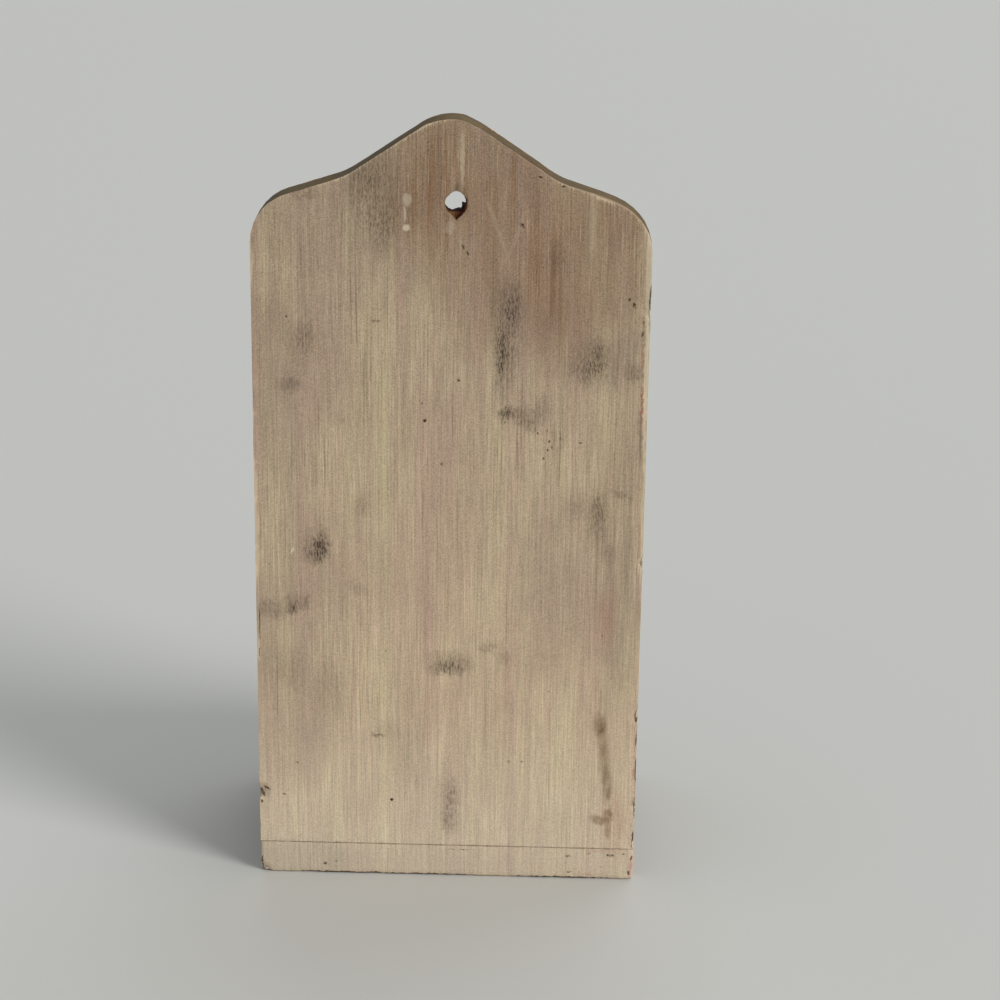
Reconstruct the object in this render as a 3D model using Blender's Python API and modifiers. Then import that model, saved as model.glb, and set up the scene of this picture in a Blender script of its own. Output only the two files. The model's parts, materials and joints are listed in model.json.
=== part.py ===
"""A wall matchbox holder: a tall crested back board, a box for kitchen matches and a hinged lid.

Metres, +Z up. The back of the holder faces +Y and its box faces -Y. The origin is the centre of
the bottom board's underside, so the holder stands on the plane z = 0.
"""

import math

import bmesh
import bpy
from mathutils import Euler, Matrix, Vector

# Boards
BOARD_WIDTH = 0.1397
OVERALL_HEIGHT = 0.28575
BACK_THICKNESS = 0.0127
BOTTOM_THICKNESS = 0.0127
WALL_THICKNESS = 0.00635
INNER_DEPTH = 0.06985
FRONT_LIP = 0.00635
SIDE_REAR_HEIGHT = 0.0889
LID_SLOPE = math.radians(15)
LID_THICKNESS = 0.009525
LID_OVERHANG = 0.0048
LID_REAR_GAP = 0.0008
LID_NOSE_ROUNDING = 0.0028
EDGE_ROUNDING = 0.001
EDGE_SEGMENTS = 2

# Crest of the back board
CREST_RADIUS = 0.020
FLANK_SLOPE = math.radians(33.7)
HOLLOW_REACH = 0.0368
HOLLOW_RADIUS = 0.030
SHOULDER_SLOPE = math.radians(17.7)
SHOULDER_RADIUS = 0.018
HOLE_RADIUS = 0.0039
HOLE_BELOW_TOP = 0.0287
HOLE_OFFSET = 0.0018
HOLE_TEAR_LENGTH = 0.0062
HOLE_TEAR_DEPTH = 0.0016
HOLE_TEAR_WIDTH = 0.0046
ARC_STEPS = 7

# Hinges
HINGE_LENGTH = 0.0254
HINGE_INSET = 0.02855
LEAF_WIDTH = 0.0105
LEAF_THICKNESS = 0.0009
BARREL_RADIUS = 0.002
BARREL_BORE_RADIUS = 0.0012
PIN_RADIUS = 0.00095
PIN_PROUD = 0.0005
PIN_ROUNDING = 0.0003
KNUCKLE_GAP = 0.0003
KNUCKLE_COUNT = 3

# Screws of the hinges and of the knob
SCREW_SPACING = 0.0165
SCREW_FROM_AXIS = 0.0065
SCREW_HEAD_RADIUS = 0.0021
SCREW_HEAD_HEIGHT = 0.0011
SCREW_SHANK_RADIUS = 0.001
BACK_SCREW_LENGTH = 0.0095
LID_SCREW_LENGTH = 0.007
SLOT_WIDTH = 0.0005
SLOT_DEPTH = 0.0004
KNOB_SCREW_HEAD_RADIUS = 0.0027
KNOB_SCREW_HEAD_HEIGHT = 0.0015
KNOB_SCREW_SHANK_RADIUS = 0.0013
KNOB_SCREW_BITE = 0.008

# Knob
KNOB_RADIUS = 0.008
KNOB_HEIGHT = 0.015
KNOB_HEAD_HEIGHT = 0.0088
KNOB_UNDERCUT = math.radians(50)
KNOB_NECK_RADIUS = 0.0038
KNOB_FOOT_RADIUS = 0.0057
KNOB_FOOT_HEIGHT = 0.0016
KNOB_FROM_NOSE = 0.0175
KNOB_CURVE_STEPS = 7

# Nails
NAIL_SHANK_RADIUS = 0.0008
NAIL_HEAD_RADIUS = 0.0014
NAIL_HEAD_THICKNESS = 0.0006
NAIL_POINT = 0.002
NAIL_SET = 0.0005
BASE_NAIL_LENGTH = 0.03175
FRONT_NAIL_LENGTH = 0.0254

# Places of the nails, as shares of the board that they follow, counted from its middle
BACK_NAIL_SHARES = (-0.37, 0.0, 0.37)
SIDE_NAIL_SHARES = (-0.11, 0.32)
FRONT_BASE_NAIL_SHARES = (-0.29, 0.29)
FRONT_NAIL_SHARES = (-0.32, 0.0, 0.32)

# Clearances and the fineness of round pieces
SEAT_GAP = 0.0003
CUT_OVERRUN = 0.002
MERGE_DISTANCE = 0.00001
FASTENER_SIDES = 12
BARREL_SIDES = 20
KNOB_SIDES = 28
SMOOTH_ANGLE = math.radians(35)

# Faces and places that several pieces share
BOTTOM_DEPTH = BACK_THICKNESS + INNER_DEPTH + WALL_THICKNESS + FRONT_LIP
REAR_Y = BOTTOM_DEPTH / 2
BACK_FRONT_Y = REAR_Y - BACK_THICKNESS
FRONT_REAR_Y = BACK_FRONT_Y - INNER_DEPTH
FRONT_FACE_Y = FRONT_REAR_Y - WALL_THICKNESS
INNER_MIDDLE_Y = (BACK_FRONT_Y + FRONT_REAR_Y) / 2
SIDE_CENTRE_X = (BOARD_WIDTH - WALL_THICKNESS) / 2
WALL_FOOT_Z = BOTTOM_THICKNESS + SEAT_GAP
LEAF_SEAT = BARREL_RADIUS + SEAT_GAP
PIN_TO_BOX_RIM = LEAF_SEAT + LID_THICKNESS + SEAT_GAP
PIN_Y = BACK_FRONT_Y - LEAF_SEAT
SIDE_FACING = Euler((math.pi / 2, 0, math.pi / 2))


def rim_height(y):
    """Height of the box's sloping rim at a depth y: the sides and the front end on this line."""
    return BOTTOM_THICKNESS + SIDE_REAR_HEIGHT - (BACK_FRONT_Y - y) * math.tan(LID_SLOPE)


PIN_Z = rim_height(PIN_Y) + PIN_TO_BOX_RIM / math.cos(LID_SLOPE)


def on_lid(world_y, local_z):
    """Distance along the lid, in the hinge's own frame, of a point of that height and depth."""
    return (world_y - PIN_Y + local_z * math.sin(LID_SLOPE)) / math.cos(LID_SLOPE)


LID_TOP = -LEAF_SEAT
LID_UNDERSIDE = LID_TOP - LID_THICKNESS
LID_NOSE = on_lid(FRONT_FACE_Y - LID_OVERHANG, LID_TOP)
KNOB_Y = LID_NOSE + KNOB_FROM_NOSE

# Scene and materials


def clear_scene():
    for obj in list(bpy.data.objects):
        bpy.data.objects.remove(obj, do_unlink=True)


def collection(name):
    made = bpy.data.collections.new(name)
    bpy.context.scene.collection.children.link(made)
    return made


def material(name, colour, roughness, metallic=0.0):
    made = bpy.data.materials.new(name)
    made.use_nodes = True
    shader = made.node_tree.nodes["Principled BSDF"]
    shader.inputs["Base Color"].default_value = (*colour, 1.0)
    shader.inputs["Roughness"].default_value = roughness
    shader.inputs["Metallic"].default_value = metallic
    made.diffuse_color = (*colour, 1.0)
    return made


clear_scene()
PARTS = collection("matchbox_holder")
CUTTERS = collection("cutters")

WASHED_PINE = material("washed_pine", (0.40, 0.31, 0.21), 0.75)
OLIVE_PAINT = material("olive_paint", (0.09, 0.08, 0.035), 0.6)
TURNED_WOOD = material("turned_wood", (0.16, 0.045, 0.03), 0.5)
AGED_BRASS = material("aged_brass", (0.45, 0.31, 0.12), 0.38, 1.0)
NAIL_STEEL = material("nail_steel", (0.22, 0.20, 0.18), 0.5, 1.0)

# Making and placing


def add_part(name, mesh, finish):
    obj = bpy.data.objects.new(name, mesh)
    mesh.materials.clear()
    mesh.materials.append(finish)
    PARTS.objects.link(obj)
    return obj


def add_cutter(name, mesh):
    obj = bpy.data.objects.new(name, mesh)
    obj.display_type = "WIRE"
    obj.hide_render = True
    CUTTERS.objects.link(obj)
    return obj


def place(obj, location=(0, 0, 0), rotation=None, parent=None):
    """Puts an object at a place in the world, or in the frame of its parent."""
    obj.location = location
    if rotation is not None:
        obj.rotation_euler = rotation
    obj.parent = parent
    return obj


def evaluated_mesh(obj):
    """A mesh of the object with its modifiers applied, in the object's own frame."""
    bpy.context.view_layer.update()
    graph = bpy.context.evaluated_depsgraph_get()
    return bpy.data.meshes.new_from_object(obj.evaluated_get(graph))


def shade_round(mesh):
    mesh.shade_smooth()
    mesh.set_sharp_from_angle(angle=SMOOTH_ANGLE)


def flat_mesh(name, outline, thickness):
    """A flat outline, drawn as a 2D curve, given a thickness centred on its own plane."""
    curve = bpy.data.curves.new(name, "CURVE")
    curve.dimensions = "2D"
    curve.fill_mode = "BOTH"
    curve.extrude = thickness / 2
    spline = curve.splines.new("POLY")
    spline.points.add(len(outline) - 1)
    for point, (x, y) in zip(spline.points, outline):
        point.co = (x, y, 0, 1)
    spline.use_cyclic_u = True
    drawn = bpy.data.objects.new(name, curve)
    PARTS.objects.link(drawn)
    mesh = evaluated_mesh(drawn)
    bpy.data.objects.remove(drawn)
    bpy.data.curves.remove(curve)
    shape = bmesh.new()
    shape.from_mesh(mesh)
    bmesh.ops.remove_doubles(shape, verts=shape.verts, dist=MERGE_DISTANCE)
    bmesh.ops.recalc_face_normals(shape, faces=shape.faces)
    shape.to_mesh(mesh)
    shape.free()
    shade_round(mesh)
    return mesh


def box_mesh(name, low, high):
    size = Vector(high) - Vector(low)
    centre = (Vector(high) + Vector(low)) / 2
    mesh = bpy.data.meshes.new(name)
    shape = bmesh.new()
    bmesh.ops.create_cube(shape, size=1, matrix=Matrix.LocRotScale(centre, None, size))
    shape.to_mesh(mesh)
    shape.free()
    return mesh


def rod_mesh(name, radius, length):
    """A round rod along X, centred on the origin."""
    mesh = bpy.data.meshes.new(name)
    shape = bmesh.new()
    bmesh.ops.create_cone(
        shape,
        cap_ends=True,
        segments=BARREL_SIDES,
        radius1=radius,
        radius2=radius,
        depth=length,
        matrix=Matrix.Rotation(math.pi / 2, 4, "Y"),
    )
    shape.to_mesh(mesh)
    shape.free()
    shade_round(mesh)
    return mesh


def turned_mesh(name, profile, sides):
    """A profile of (radius, height) points, from the top down its outer side, turned about Z."""
    mesh = bpy.data.meshes.new(name)
    mesh.from_pydata([(r, 0, z) for r, z in profile], [(i, i + 1) for i in range(len(profile) - 1)], [])
    turned = bpy.data.objects.new(name, mesh)
    PARTS.objects.link(turned)
    turning = turned.modifiers.new("turning", "SCREW")
    turning.steps = sides
    turning.render_steps = sides
    turning.use_merge_vertices = True
    turning.merge_threshold = MERGE_DISTANCE
    made = evaluated_mesh(turned)
    bpy.data.objects.remove(turned)
    bpy.data.meshes.remove(mesh)
    shade_round(made)
    return made


def round_edges(obj, chosen, width=EDGE_ROUNDING):
    """Rounds the edges that chosen(start, end, centre) picks, in the object's own frame."""
    shape = bmesh.new()
    shape.from_mesh(obj.data)
    weight = shape.edges.layers.float.new("bevel_weight_edge")
    for edge in shape.edges:
        start, end = (vertex.co for vertex in edge.verts)
        turn = edge.calc_face_angle(0)
        if turn > SMOOTH_ANGLE and chosen(start, end, (start + end) / 2):
            edge[weight] = 1
    shape.to_mesh(obj.data)
    shape.free()
    rounding = obj.modifiers.new("rounded_edges", "BEVEL")
    rounding.width = width
    rounding.segments = EDGE_SEGMENTS
    rounding.limit_method = "WEIGHT"


def cut(obj, cutter):
    opening = obj.modifiers.new(cutter.name, "BOOLEAN")
    opening.operation = "DIFFERENCE"
    opening.object = cutter


def join(obj, other):
    union = obj.modifiers.new(other.name, "BOOLEAN")
    union.operation = "UNION"
    union.object = other


def arc(centre, radius, start, end):
    """Points of an arc in a plane, from one angle to another."""
    angles = [start + (end - start) * i / ARC_STEPS for i in range(ARC_STEPS + 1)]
    return [(centre[0] + radius * math.cos(a), centre[1] + radius * math.sin(a)) for a in angles]


# Back board


def crest_half():
    """The right half of the crest: a round top, a straight flank, a hollow, a slope and a shoulder."""
    upright = math.pi / 2
    top = arc((0, OVERALL_HEIGHT - CREST_RADIUS), CREST_RADIUS, upright, upright - FLANK_SLOPE)
    flank_x, flank_z = top[-1]
    corner_z = flank_z - (HOLLOW_REACH - flank_x) * math.tan(FLANK_SLOPE)
    tangent = HOLLOW_RADIUS * math.tan((FLANK_SLOPE - SHOULDER_SLOPE) / 2)
    hollow_x = HOLLOW_REACH - tangent * math.cos(FLANK_SLOPE)
    hollow_z = corner_z + tangent * math.sin(FLANK_SLOPE)
    hollow_centre = (
        hollow_x + HOLLOW_RADIUS * math.sin(FLANK_SLOPE),
        hollow_z + HOLLOW_RADIUS * math.cos(FLANK_SLOPE),
    )
    hollow = arc(hollow_centre, HOLLOW_RADIUS, -upright - FLANK_SLOPE, -upright - SHOULDER_SLOPE)
    shoulder_x = BOARD_WIDTH / 2 - SHOULDER_RADIUS
    slope_end_x = shoulder_x + SHOULDER_RADIUS * math.sin(SHOULDER_SLOPE)
    slope_end_z = corner_z - (slope_end_x - HOLLOW_REACH) * math.tan(SHOULDER_SLOPE)
    shoulder_z = slope_end_z - SHOULDER_RADIUS * math.cos(SHOULDER_SLOPE)
    shoulder = arc((shoulder_x, shoulder_z), SHOULDER_RADIUS, upright - SHOULDER_SLOPE, 0)
    return top + hollow + shoulder


def back_board_outline():
    right = crest_half()
    left = [(-x, z) for x, z in reversed(right[1:])]
    half_width = BOARD_WIDTH / 2
    return left + right + [(half_width, WALL_FOOT_Z), (-half_width, WALL_FOOT_Z)]


def make_back_board():
    mesh = flat_mesh("back_board", back_board_outline(), BACK_THICKNESS)
    board = place(
        add_part("back_board", mesh, WASHED_PINE),
        (0, REAR_Y - BACK_THICKNESS / 2, 0),
        Euler((math.pi / 2, 0, 0)),
    )
    joint_height = WALL_FOOT_Z + EDGE_ROUNDING
    round_edges(board, lambda start, end, middle: middle.y > joint_height)
    hanging_hole(board)
    return board


def hanging_hole(board):
    """The nail hole, and the splintered wedge that its drill tore out below it, at the back."""
    hole_z = OVERALL_HEIGHT - HOLE_BELOW_TOP
    length = BACK_THICKNESS + 2 * CUT_OVERRUN
    hole = add_cutter("hanging_hole_cutter", rod_mesh("hanging_hole_cutter", HOLE_RADIUS, length))
    place(hole, (-HOLE_OFFSET, REAR_Y - BACK_THICKNESS / 2, hole_z), Euler((0, 0, math.pi / 2)))
    cut(board, hole)
    tear = [
        (-HOLE_TEAR_WIDTH / 2, 0),
        (0, -HOLE_TEAR_LENGTH),
        (HOLE_TEAR_WIDTH / 2, 0),
    ]
    wedge = add_cutter("hole_tear_cutter", flat_mesh("hole_tear_cutter", tear, 2 * HOLE_TEAR_DEPTH))
    place(wedge, (-HOLE_OFFSET, REAR_Y, hole_z), Euler((math.pi / 2, 0, 0)))
    cut(board, wedge)


# Bottom board, sides and front


def make_bottom_board():
    half_width = BOARD_WIDTH / 2
    mesh = box_mesh("bottom_board", (-half_width, -REAR_Y, 0), (half_width, REAR_Y, BOTTOM_THICKNESS))
    board = add_part("bottom_board", mesh, WASHED_PINE)

    def worn(start, end, middle):
        under_a_wall = middle.z > BOTTOM_THICKNESS - EDGE_ROUNDING and middle.y > -REAR_Y + EDGE_ROUNDING
        return not under_a_wall

    round_edges(board, worn)
    return board


def make_side(name, side):
    """A side board: its rim slopes down from the back board to the front board."""
    rear = BACK_FRONT_Y - SEAT_GAP
    front = FRONT_REAR_Y + SEAT_GAP
    outline = [
        (front, WALL_FOOT_Z),
        (rear, WALL_FOOT_Z),
        (rear, rim_height(rear)),
        (front, rim_height(front)),
    ]
    board = add_part(name, flat_mesh(name, outline, WALL_THICKNESS), OLIVE_PAINT)
    return place(board, (side * SIDE_CENTRE_X, 0, 0), SIDE_FACING)


def make_front_board():
    outline = [
        (FRONT_FACE_Y, WALL_FOOT_Z),
        (FRONT_REAR_Y, WALL_FOOT_Z),
        (FRONT_REAR_Y, rim_height(FRONT_REAR_Y)),
        (FRONT_FACE_Y, rim_height(FRONT_FACE_Y)),
    ]
    board = add_part("front_board", flat_mesh("front_board", outline, BOARD_WIDTH), OLIVE_PAINT)
    board = place(board, rotation=SIDE_FACING)

    def front_arris(start, end, middle):
        return middle.x < FRONT_FACE_Y + EDGE_ROUNDING and middle.y > WALL_FOOT_Z + EDGE_ROUNDING

    round_edges(board, front_arris)
    return board


# Lid, with its knob: both are placed in the frame of the hinge's axis


def make_lid_axis():
    axis = bpy.data.objects.new("lid_axis", None)
    PARTS.objects.link(axis)
    return place(axis, (0, PIN_Y, PIN_Z), Euler((LID_SLOPE, 0, 0)))


def make_lid(axis):
    rear = BACK_FRONT_Y - LID_REAR_GAP
    outline = [
        (LID_NOSE, LID_UNDERSIDE),
        (on_lid(rear, LID_UNDERSIDE), LID_UNDERSIDE),
        (on_lid(rear, LID_TOP), LID_TOP),
        (LID_NOSE, LID_TOP),
    ]
    lid = add_part("lid", flat_mesh("lid", outline, BOARD_WIDTH), OLIVE_PAINT)
    place(lid, rotation=SIDE_FACING, parent=axis)
    nose_limit = LID_NOSE + EDGE_ROUNDING
    side_limit = BOARD_WIDTH / 2 - EDGE_ROUNDING

    def nose(start, end, middle):
        return start.x < nose_limit and end.x < nose_limit and abs(middle.z) < side_limit

    round_edges(lid, nose, LID_NOSE_ROUNDING)
    return lid


def knob_profile():
    """A mushroom head on a hollowed neck, and the small collar that it stands on."""
    half_head = KNOB_HEAD_HEIGHT / 2
    head_z = KNOB_HEIGHT - half_head
    upright = math.pi / 2
    points = []
    for step in range(KNOB_CURVE_STEPS + 1):
        angle = upright - (upright + KNOB_UNDERCUT) * step / KNOB_CURVE_STEPS
        points.append((KNOB_RADIUS * math.cos(angle), head_z + half_head * math.sin(angle)))
    cove_radius, cove_z = points[-1]
    hollowing = (cove_radius + KNOB_FOOT_RADIUS) / 2 - KNOB_NECK_RADIUS
    for step in range(1, KNOB_CURVE_STEPS + 1):
        share = step / KNOB_CURVE_STEPS
        radius = cove_radius + (KNOB_FOOT_RADIUS - cove_radius) * share
        height = cove_z + (KNOB_FOOT_HEIGHT - cove_z) * share
        points.append((radius - hollowing * math.sin(math.pi * share), height))
    return points + [(KNOB_FOOT_RADIUS, 0), (0, 0)]


def make_knob(axis):
    mesh = turned_mesh("lid_knob", knob_profile(), KNOB_SIDES)
    knob = add_part("lid_knob", mesh, TURNED_WOOD)
    return place(knob, (0, KNOB_Y, LID_TOP + SEAT_GAP), parent=axis)


# Fasteners: each is turned about Z with its head at the origin, pointing down


def screw_profile(head_radius, head_height, shank_radius, length, gap=0.0):
    """A countersunk screw, or with a gap the hole that it seats in, which starts above its head."""
    above = CUT_OVERRUN if gap else 0.0
    profile = [(0, above), (head_radius + gap, above)]
    if gap:
        profile.append((head_radius + gap, 0))
    return profile + [
        (shank_radius + gap, -head_height),
        (shank_radius + gap, -length + shank_radius - gap),
        (0, -length - gap),
    ]


def nail_profile(length, gap=0.0):
    """A round nail with a flat head, or with a gap its hole, which starts above its head."""
    above = CUT_OVERRUN if gap else 0.0
    return [
        (0, above),
        (NAIL_HEAD_RADIUS + gap, above),
        (NAIL_HEAD_RADIUS + gap, -NAIL_HEAD_THICKNESS - gap),
        (NAIL_SHANK_RADIUS + gap, -NAIL_HEAD_THICKNESS - gap),
        (NAIL_SHANK_RADIUS + gap, -length + NAIL_POINT - gap),
        (0, -length - gap),
    ]


def add_fastener(name, profile_with_gap, finish, boards, seat):
    """A screw or nail, and its hole in each piece that it passes through or holds in."""
    body = turned_mesh(name, profile_with_gap(0.0), FASTENER_SIDES)
    hole_mesh = turned_mesh(name + "_hole", profile_with_gap(SEAT_GAP), FASTENER_SIDES)
    hole = place(add_cutter(name + "_hole", hole_mesh), *seat)
    for board in boards:
        cut(board, hole)
    return place(add_part(name, body, finish), *seat)


def add_screw(name, head_radius, head_height, shank_radius, length, boards, seat):
    """A slotted brass screw."""

    def profile_with_gap(gap):
        return screw_profile(head_radius, head_height, shank_radius, length, gap)

    screw = add_fastener(name, profile_with_gap, AGED_BRASS, boards, seat)
    reach = head_radius + SLOT_WIDTH
    low = (-reach, -SLOT_WIDTH / 2, -SLOT_DEPTH)
    high = (reach, SLOT_WIDTH / 2, SLOT_DEPTH)
    slot = add_cutter(name + "_slot", box_mesh(name + "_slot", low, high))
    cut(screw, place(slot, *seat))
    return screw


def add_nail(name, length, boards, seat):
    return add_fastener(name, lambda gap: nail_profile(length, gap), NAIL_STEEL, boards, seat)


def nail_up(name, x, y, boards):
    """A nail up through the bottom board into the wall that stands on it."""
    add_nail(name, BASE_NAIL_LENGTH, boards, ((x, y, NAIL_SET), Euler((math.pi, 0, 0))))


def nail_back(name, x, z, boards):
    """A nail through the front board into the end of a side."""
    seat = ((x, FRONT_FACE_Y + NAIL_SET, z), Euler((math.pi / 2, 0, 0)))
    add_nail(name, FRONT_NAIL_LENGTH, boards, seat)


# Hinges: a leaf lies along -Y from its barrel, with its seat facing down


def knuckle_span(index):
    """The two ends, along X, of one of the barrel's knuckles."""
    pitch = HINGE_LENGTH / KNUCKLE_COUNT
    start = -HINGE_LENGTH / 2 + index * pitch
    return start, start + pitch


def make_leaf(name, knuckles, seat):
    """A leaf carries some of the knuckles and is notched round the others."""
    half_length = HINGE_LENGTH / 2
    plate = box_mesh(
        name,
        (-half_length, -LEAF_WIDTH, -BARREL_RADIUS),
        (half_length, 0, -BARREL_RADIUS + LEAF_THICKNESS),
    )
    leaf = place(add_part(name, plate, AGED_BRASS), *seat)
    for index in range(KNUCKLE_COUNT):
        start, end = knuckle_span(index)
        if index in knuckles:
            tube_start = start if index == 0 else start + KNUCKLE_GAP / 2
            tube_end = end if index == KNUCKLE_COUNT - 1 else end - KNUCKLE_GAP / 2
            tube_mesh = rod_mesh(f"{name}_knuckle_{index}", BARREL_RADIUS, tube_end - tube_start)
            tube_mesh.transform(Matrix.Translation(((tube_start + tube_end) / 2, 0, 0)))
            tube = add_cutter(f"{name}_knuckle_{index}", tube_mesh)
            join(leaf, place(tube, *seat))
    for index in range(KNUCKLE_COUNT):
        start, end = knuckle_span(index)
        if index not in knuckles:
            notch_start = start - (CUT_OVERRUN if index == 0 else KNUCKLE_GAP / 2)
            notch_end = end + (CUT_OVERRUN if index == KNUCKLE_COUNT - 1 else KNUCKLE_GAP / 2)
            notch_mesh = box_mesh(
                f"{name}_notch_{index}",
                (notch_start, -BARREL_RADIUS - SEAT_GAP, -BARREL_RADIUS - CUT_OVERRUN),
                (notch_end, BARREL_RADIUS + CUT_OVERRUN, BARREL_RADIUS + CUT_OVERRUN),
            )
            notch = add_cutter(f"{name}_notch_{index}", notch_mesh)
            cut(leaf, place(notch, *seat))
    bore_mesh = rod_mesh(name + "_bore", BARREL_BORE_RADIUS, HINGE_LENGTH + 2 * CUT_OVERRUN)
    cut(leaf, place(add_cutter(name + "_bore", bore_mesh), *seat))
    return leaf


def make_hinge(side_name, hinge_x, back_board, lid, axis):
    """A butt hinge: one leaf is screwed to the back board and the other to the lid."""
    outer = (0, KNUCKLE_COUNT - 1)
    inner = range(1, KNUCKLE_COUNT - 1)
    on_back = Euler((-math.pi / 2, 0, math.pi))
    pin_place = (hinge_x, PIN_Y, PIN_Z)
    back_leaf = make_leaf(f"{side_name}_hinge_back_leaf", outer, (pin_place, on_back))
    lid_leaf = make_leaf(f"{side_name}_hinge_lid_leaf", inner, ((hinge_x, 0, 0), Euler(), axis))
    pin_name = f"{side_name}_hinge_pin"
    pin_mesh = rod_mesh(pin_name, PIN_RADIUS, HINGE_LENGTH + 2 * PIN_PROUD)
    pin = place(add_part(pin_name, pin_mesh, AGED_BRASS), pin_place)
    round_edges(pin, lambda start, end, middle: True, PIN_ROUNDING)
    head = (SCREW_HEAD_RADIUS, SCREW_HEAD_HEIGHT, SCREW_SHANK_RADIUS)
    leaf_face = BARREL_RADIUS - LEAF_THICKNESS
    for number, side in enumerate((-1, 1), start=1):
        screw_x = hinge_x + side * SCREW_SPACING / 2
        on_board = ((screw_x, PIN_Y + leaf_face, PIN_Z + SCREW_FROM_AXIS), on_back)
        on_top = ((screw_x, -SCREW_FROM_AXIS, -leaf_face), Euler(), axis)
        held_by_back = [back_leaf, back_board]
        held_by_lid = [lid_leaf, lid]
        add_screw(f"{side_name}_hinge_back_screw_{number}", *head, BACK_SCREW_LENGTH, held_by_back, on_board)
        add_screw(f"{side_name}_hinge_lid_screw_{number}", *head, LID_SCREW_LENGTH, held_by_lid, on_top)


# Assembly


def nail_the_box(back_board, bottom_board, left_side, right_side, front_board):
    back_y = REAR_Y - BACK_THICKNESS / 2
    front_y = (FRONT_FACE_Y + FRONT_REAR_Y) / 2
    for number, share in enumerate(BACK_NAIL_SHARES, start=1):
        nail_up(f"back_nail_{number}", share * BOARD_WIDTH, back_y, [bottom_board, back_board])
    for number, share in enumerate(FRONT_BASE_NAIL_SHARES, start=1):
        nail_up(f"front_base_nail_{number}", share * BOARD_WIDTH, front_y, [bottom_board, front_board])
    front_height = rim_height(FRONT_FACE_Y) - WALL_FOOT_Z
    front_middle_z = WALL_FOOT_Z + front_height / 2
    for wall, wall_name, side in ((left_side, "left", -1), (right_side, "right", 1)):
        x = side * SIDE_CENTRE_X
        for number, share in enumerate(SIDE_NAIL_SHARES, start=1):
            y = INNER_MIDDLE_Y + share * INNER_DEPTH
            nail_up(f"{wall_name}_side_nail_{number}", x, y, [bottom_board, wall])
        for number, share in enumerate(FRONT_NAIL_SHARES, start=1):
            z = front_middle_z + share * front_height
            nail_back(f"{wall_name}_front_nail_{number}", x, z, [front_board, wall])


def fasten_knob(knob, lid, axis):
    """The knob's screw comes up through the lid, with its head let into the underside."""
    length = LID_THICKNESS + SEAT_GAP + KNOB_SCREW_BITE
    head = (KNOB_SCREW_HEAD_RADIUS, KNOB_SCREW_HEAD_HEIGHT, KNOB_SCREW_SHANK_RADIUS)
    seat = ((0, KNOB_Y, LID_UNDERSIDE), Euler((math.pi, 0, 0)), axis)
    add_screw("knob_screw", *head, length, [lid, knob], seat)


def main():
    back_board = make_back_board()
    bottom_board = make_bottom_board()
    left_side = make_side("left_side", -1)
    right_side = make_side("right_side", 1)
    front_board = make_front_board()
    axis = make_lid_axis()
    lid = make_lid(axis)
    knob = make_knob(axis)
    fasten_knob(knob, lid, axis)
    hinge_x = BOARD_WIDTH / 2 - HINGE_INSET
    make_hinge("left", -hinge_x, back_board, lid, axis)
    make_hinge("right", hinge_x, back_board, lid, axis)
    nail_the_box(back_board, bottom_board, left_side, right_side, front_board)


main()
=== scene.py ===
# %% [markdown]
# # A wall holder for matchboxes, from the back
# The holder is a crested pine board with a nail hole, and a small lidded box on its other side.
# The engineering model gives every board, hinge, screw and nail at its real size. This lesson only
# dresses it: each board gets worn edges and an aged finish, and the hardware gets finer shapes.
# We start by loading that model, which stays fixed.

# %% Load the engineering model
import json
import math
from contextlib import contextmanager
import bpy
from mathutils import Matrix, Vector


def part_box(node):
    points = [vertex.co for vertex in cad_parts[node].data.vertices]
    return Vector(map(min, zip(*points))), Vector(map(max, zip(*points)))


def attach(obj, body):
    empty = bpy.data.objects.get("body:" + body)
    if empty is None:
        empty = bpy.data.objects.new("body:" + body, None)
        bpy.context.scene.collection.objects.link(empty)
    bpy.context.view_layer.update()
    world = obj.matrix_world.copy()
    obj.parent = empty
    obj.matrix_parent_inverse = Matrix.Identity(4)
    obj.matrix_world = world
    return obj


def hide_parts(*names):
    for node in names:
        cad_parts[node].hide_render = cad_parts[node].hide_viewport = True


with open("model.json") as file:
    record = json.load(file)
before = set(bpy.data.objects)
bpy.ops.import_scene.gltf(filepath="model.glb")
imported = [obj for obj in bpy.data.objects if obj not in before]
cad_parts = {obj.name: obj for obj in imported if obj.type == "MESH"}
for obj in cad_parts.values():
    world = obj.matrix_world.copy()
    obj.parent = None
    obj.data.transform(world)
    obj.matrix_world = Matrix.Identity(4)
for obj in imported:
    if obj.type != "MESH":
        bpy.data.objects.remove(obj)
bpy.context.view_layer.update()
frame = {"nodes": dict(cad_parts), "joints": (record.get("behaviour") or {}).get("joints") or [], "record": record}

from types import SimpleNamespace

import bmesh
import bpy
from mathutils import Matrix, Vector, kdtree, noise

MM = 0.001
NODES = frame["nodes"]
BODIES = frame["record"]["behaviour"]["bodies"]
BODY_OF = {node: body for body, members in BODIES.items() for node in members}
print("bodies:", sorted(BODIES), "nodes:", len(NODES))

# %% [markdown]
# ## Camera
# The camera stood about a metre behind the holder, a little to the right of its middle and a hand's
# span above its top, and looked down with a short telephoto lens. We place it by its position and
# three angles, as on a tripod: pan, tilt and a slight roll. `to_track_quat` aims it, and the roll
# turns it about its own line of sight.

# %% Camera behind and above the holder
CAMERA_PLACE = Vector((-0.037588, 0.927058, 0.446394))
CAMERA_PAN = math.radians(-1.2637)
CAMERA_TILT = math.radians(18.6595)
CAMERA_ROLL = math.radians(0.7816)
CAMERA_LENS = 93.6

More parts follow.
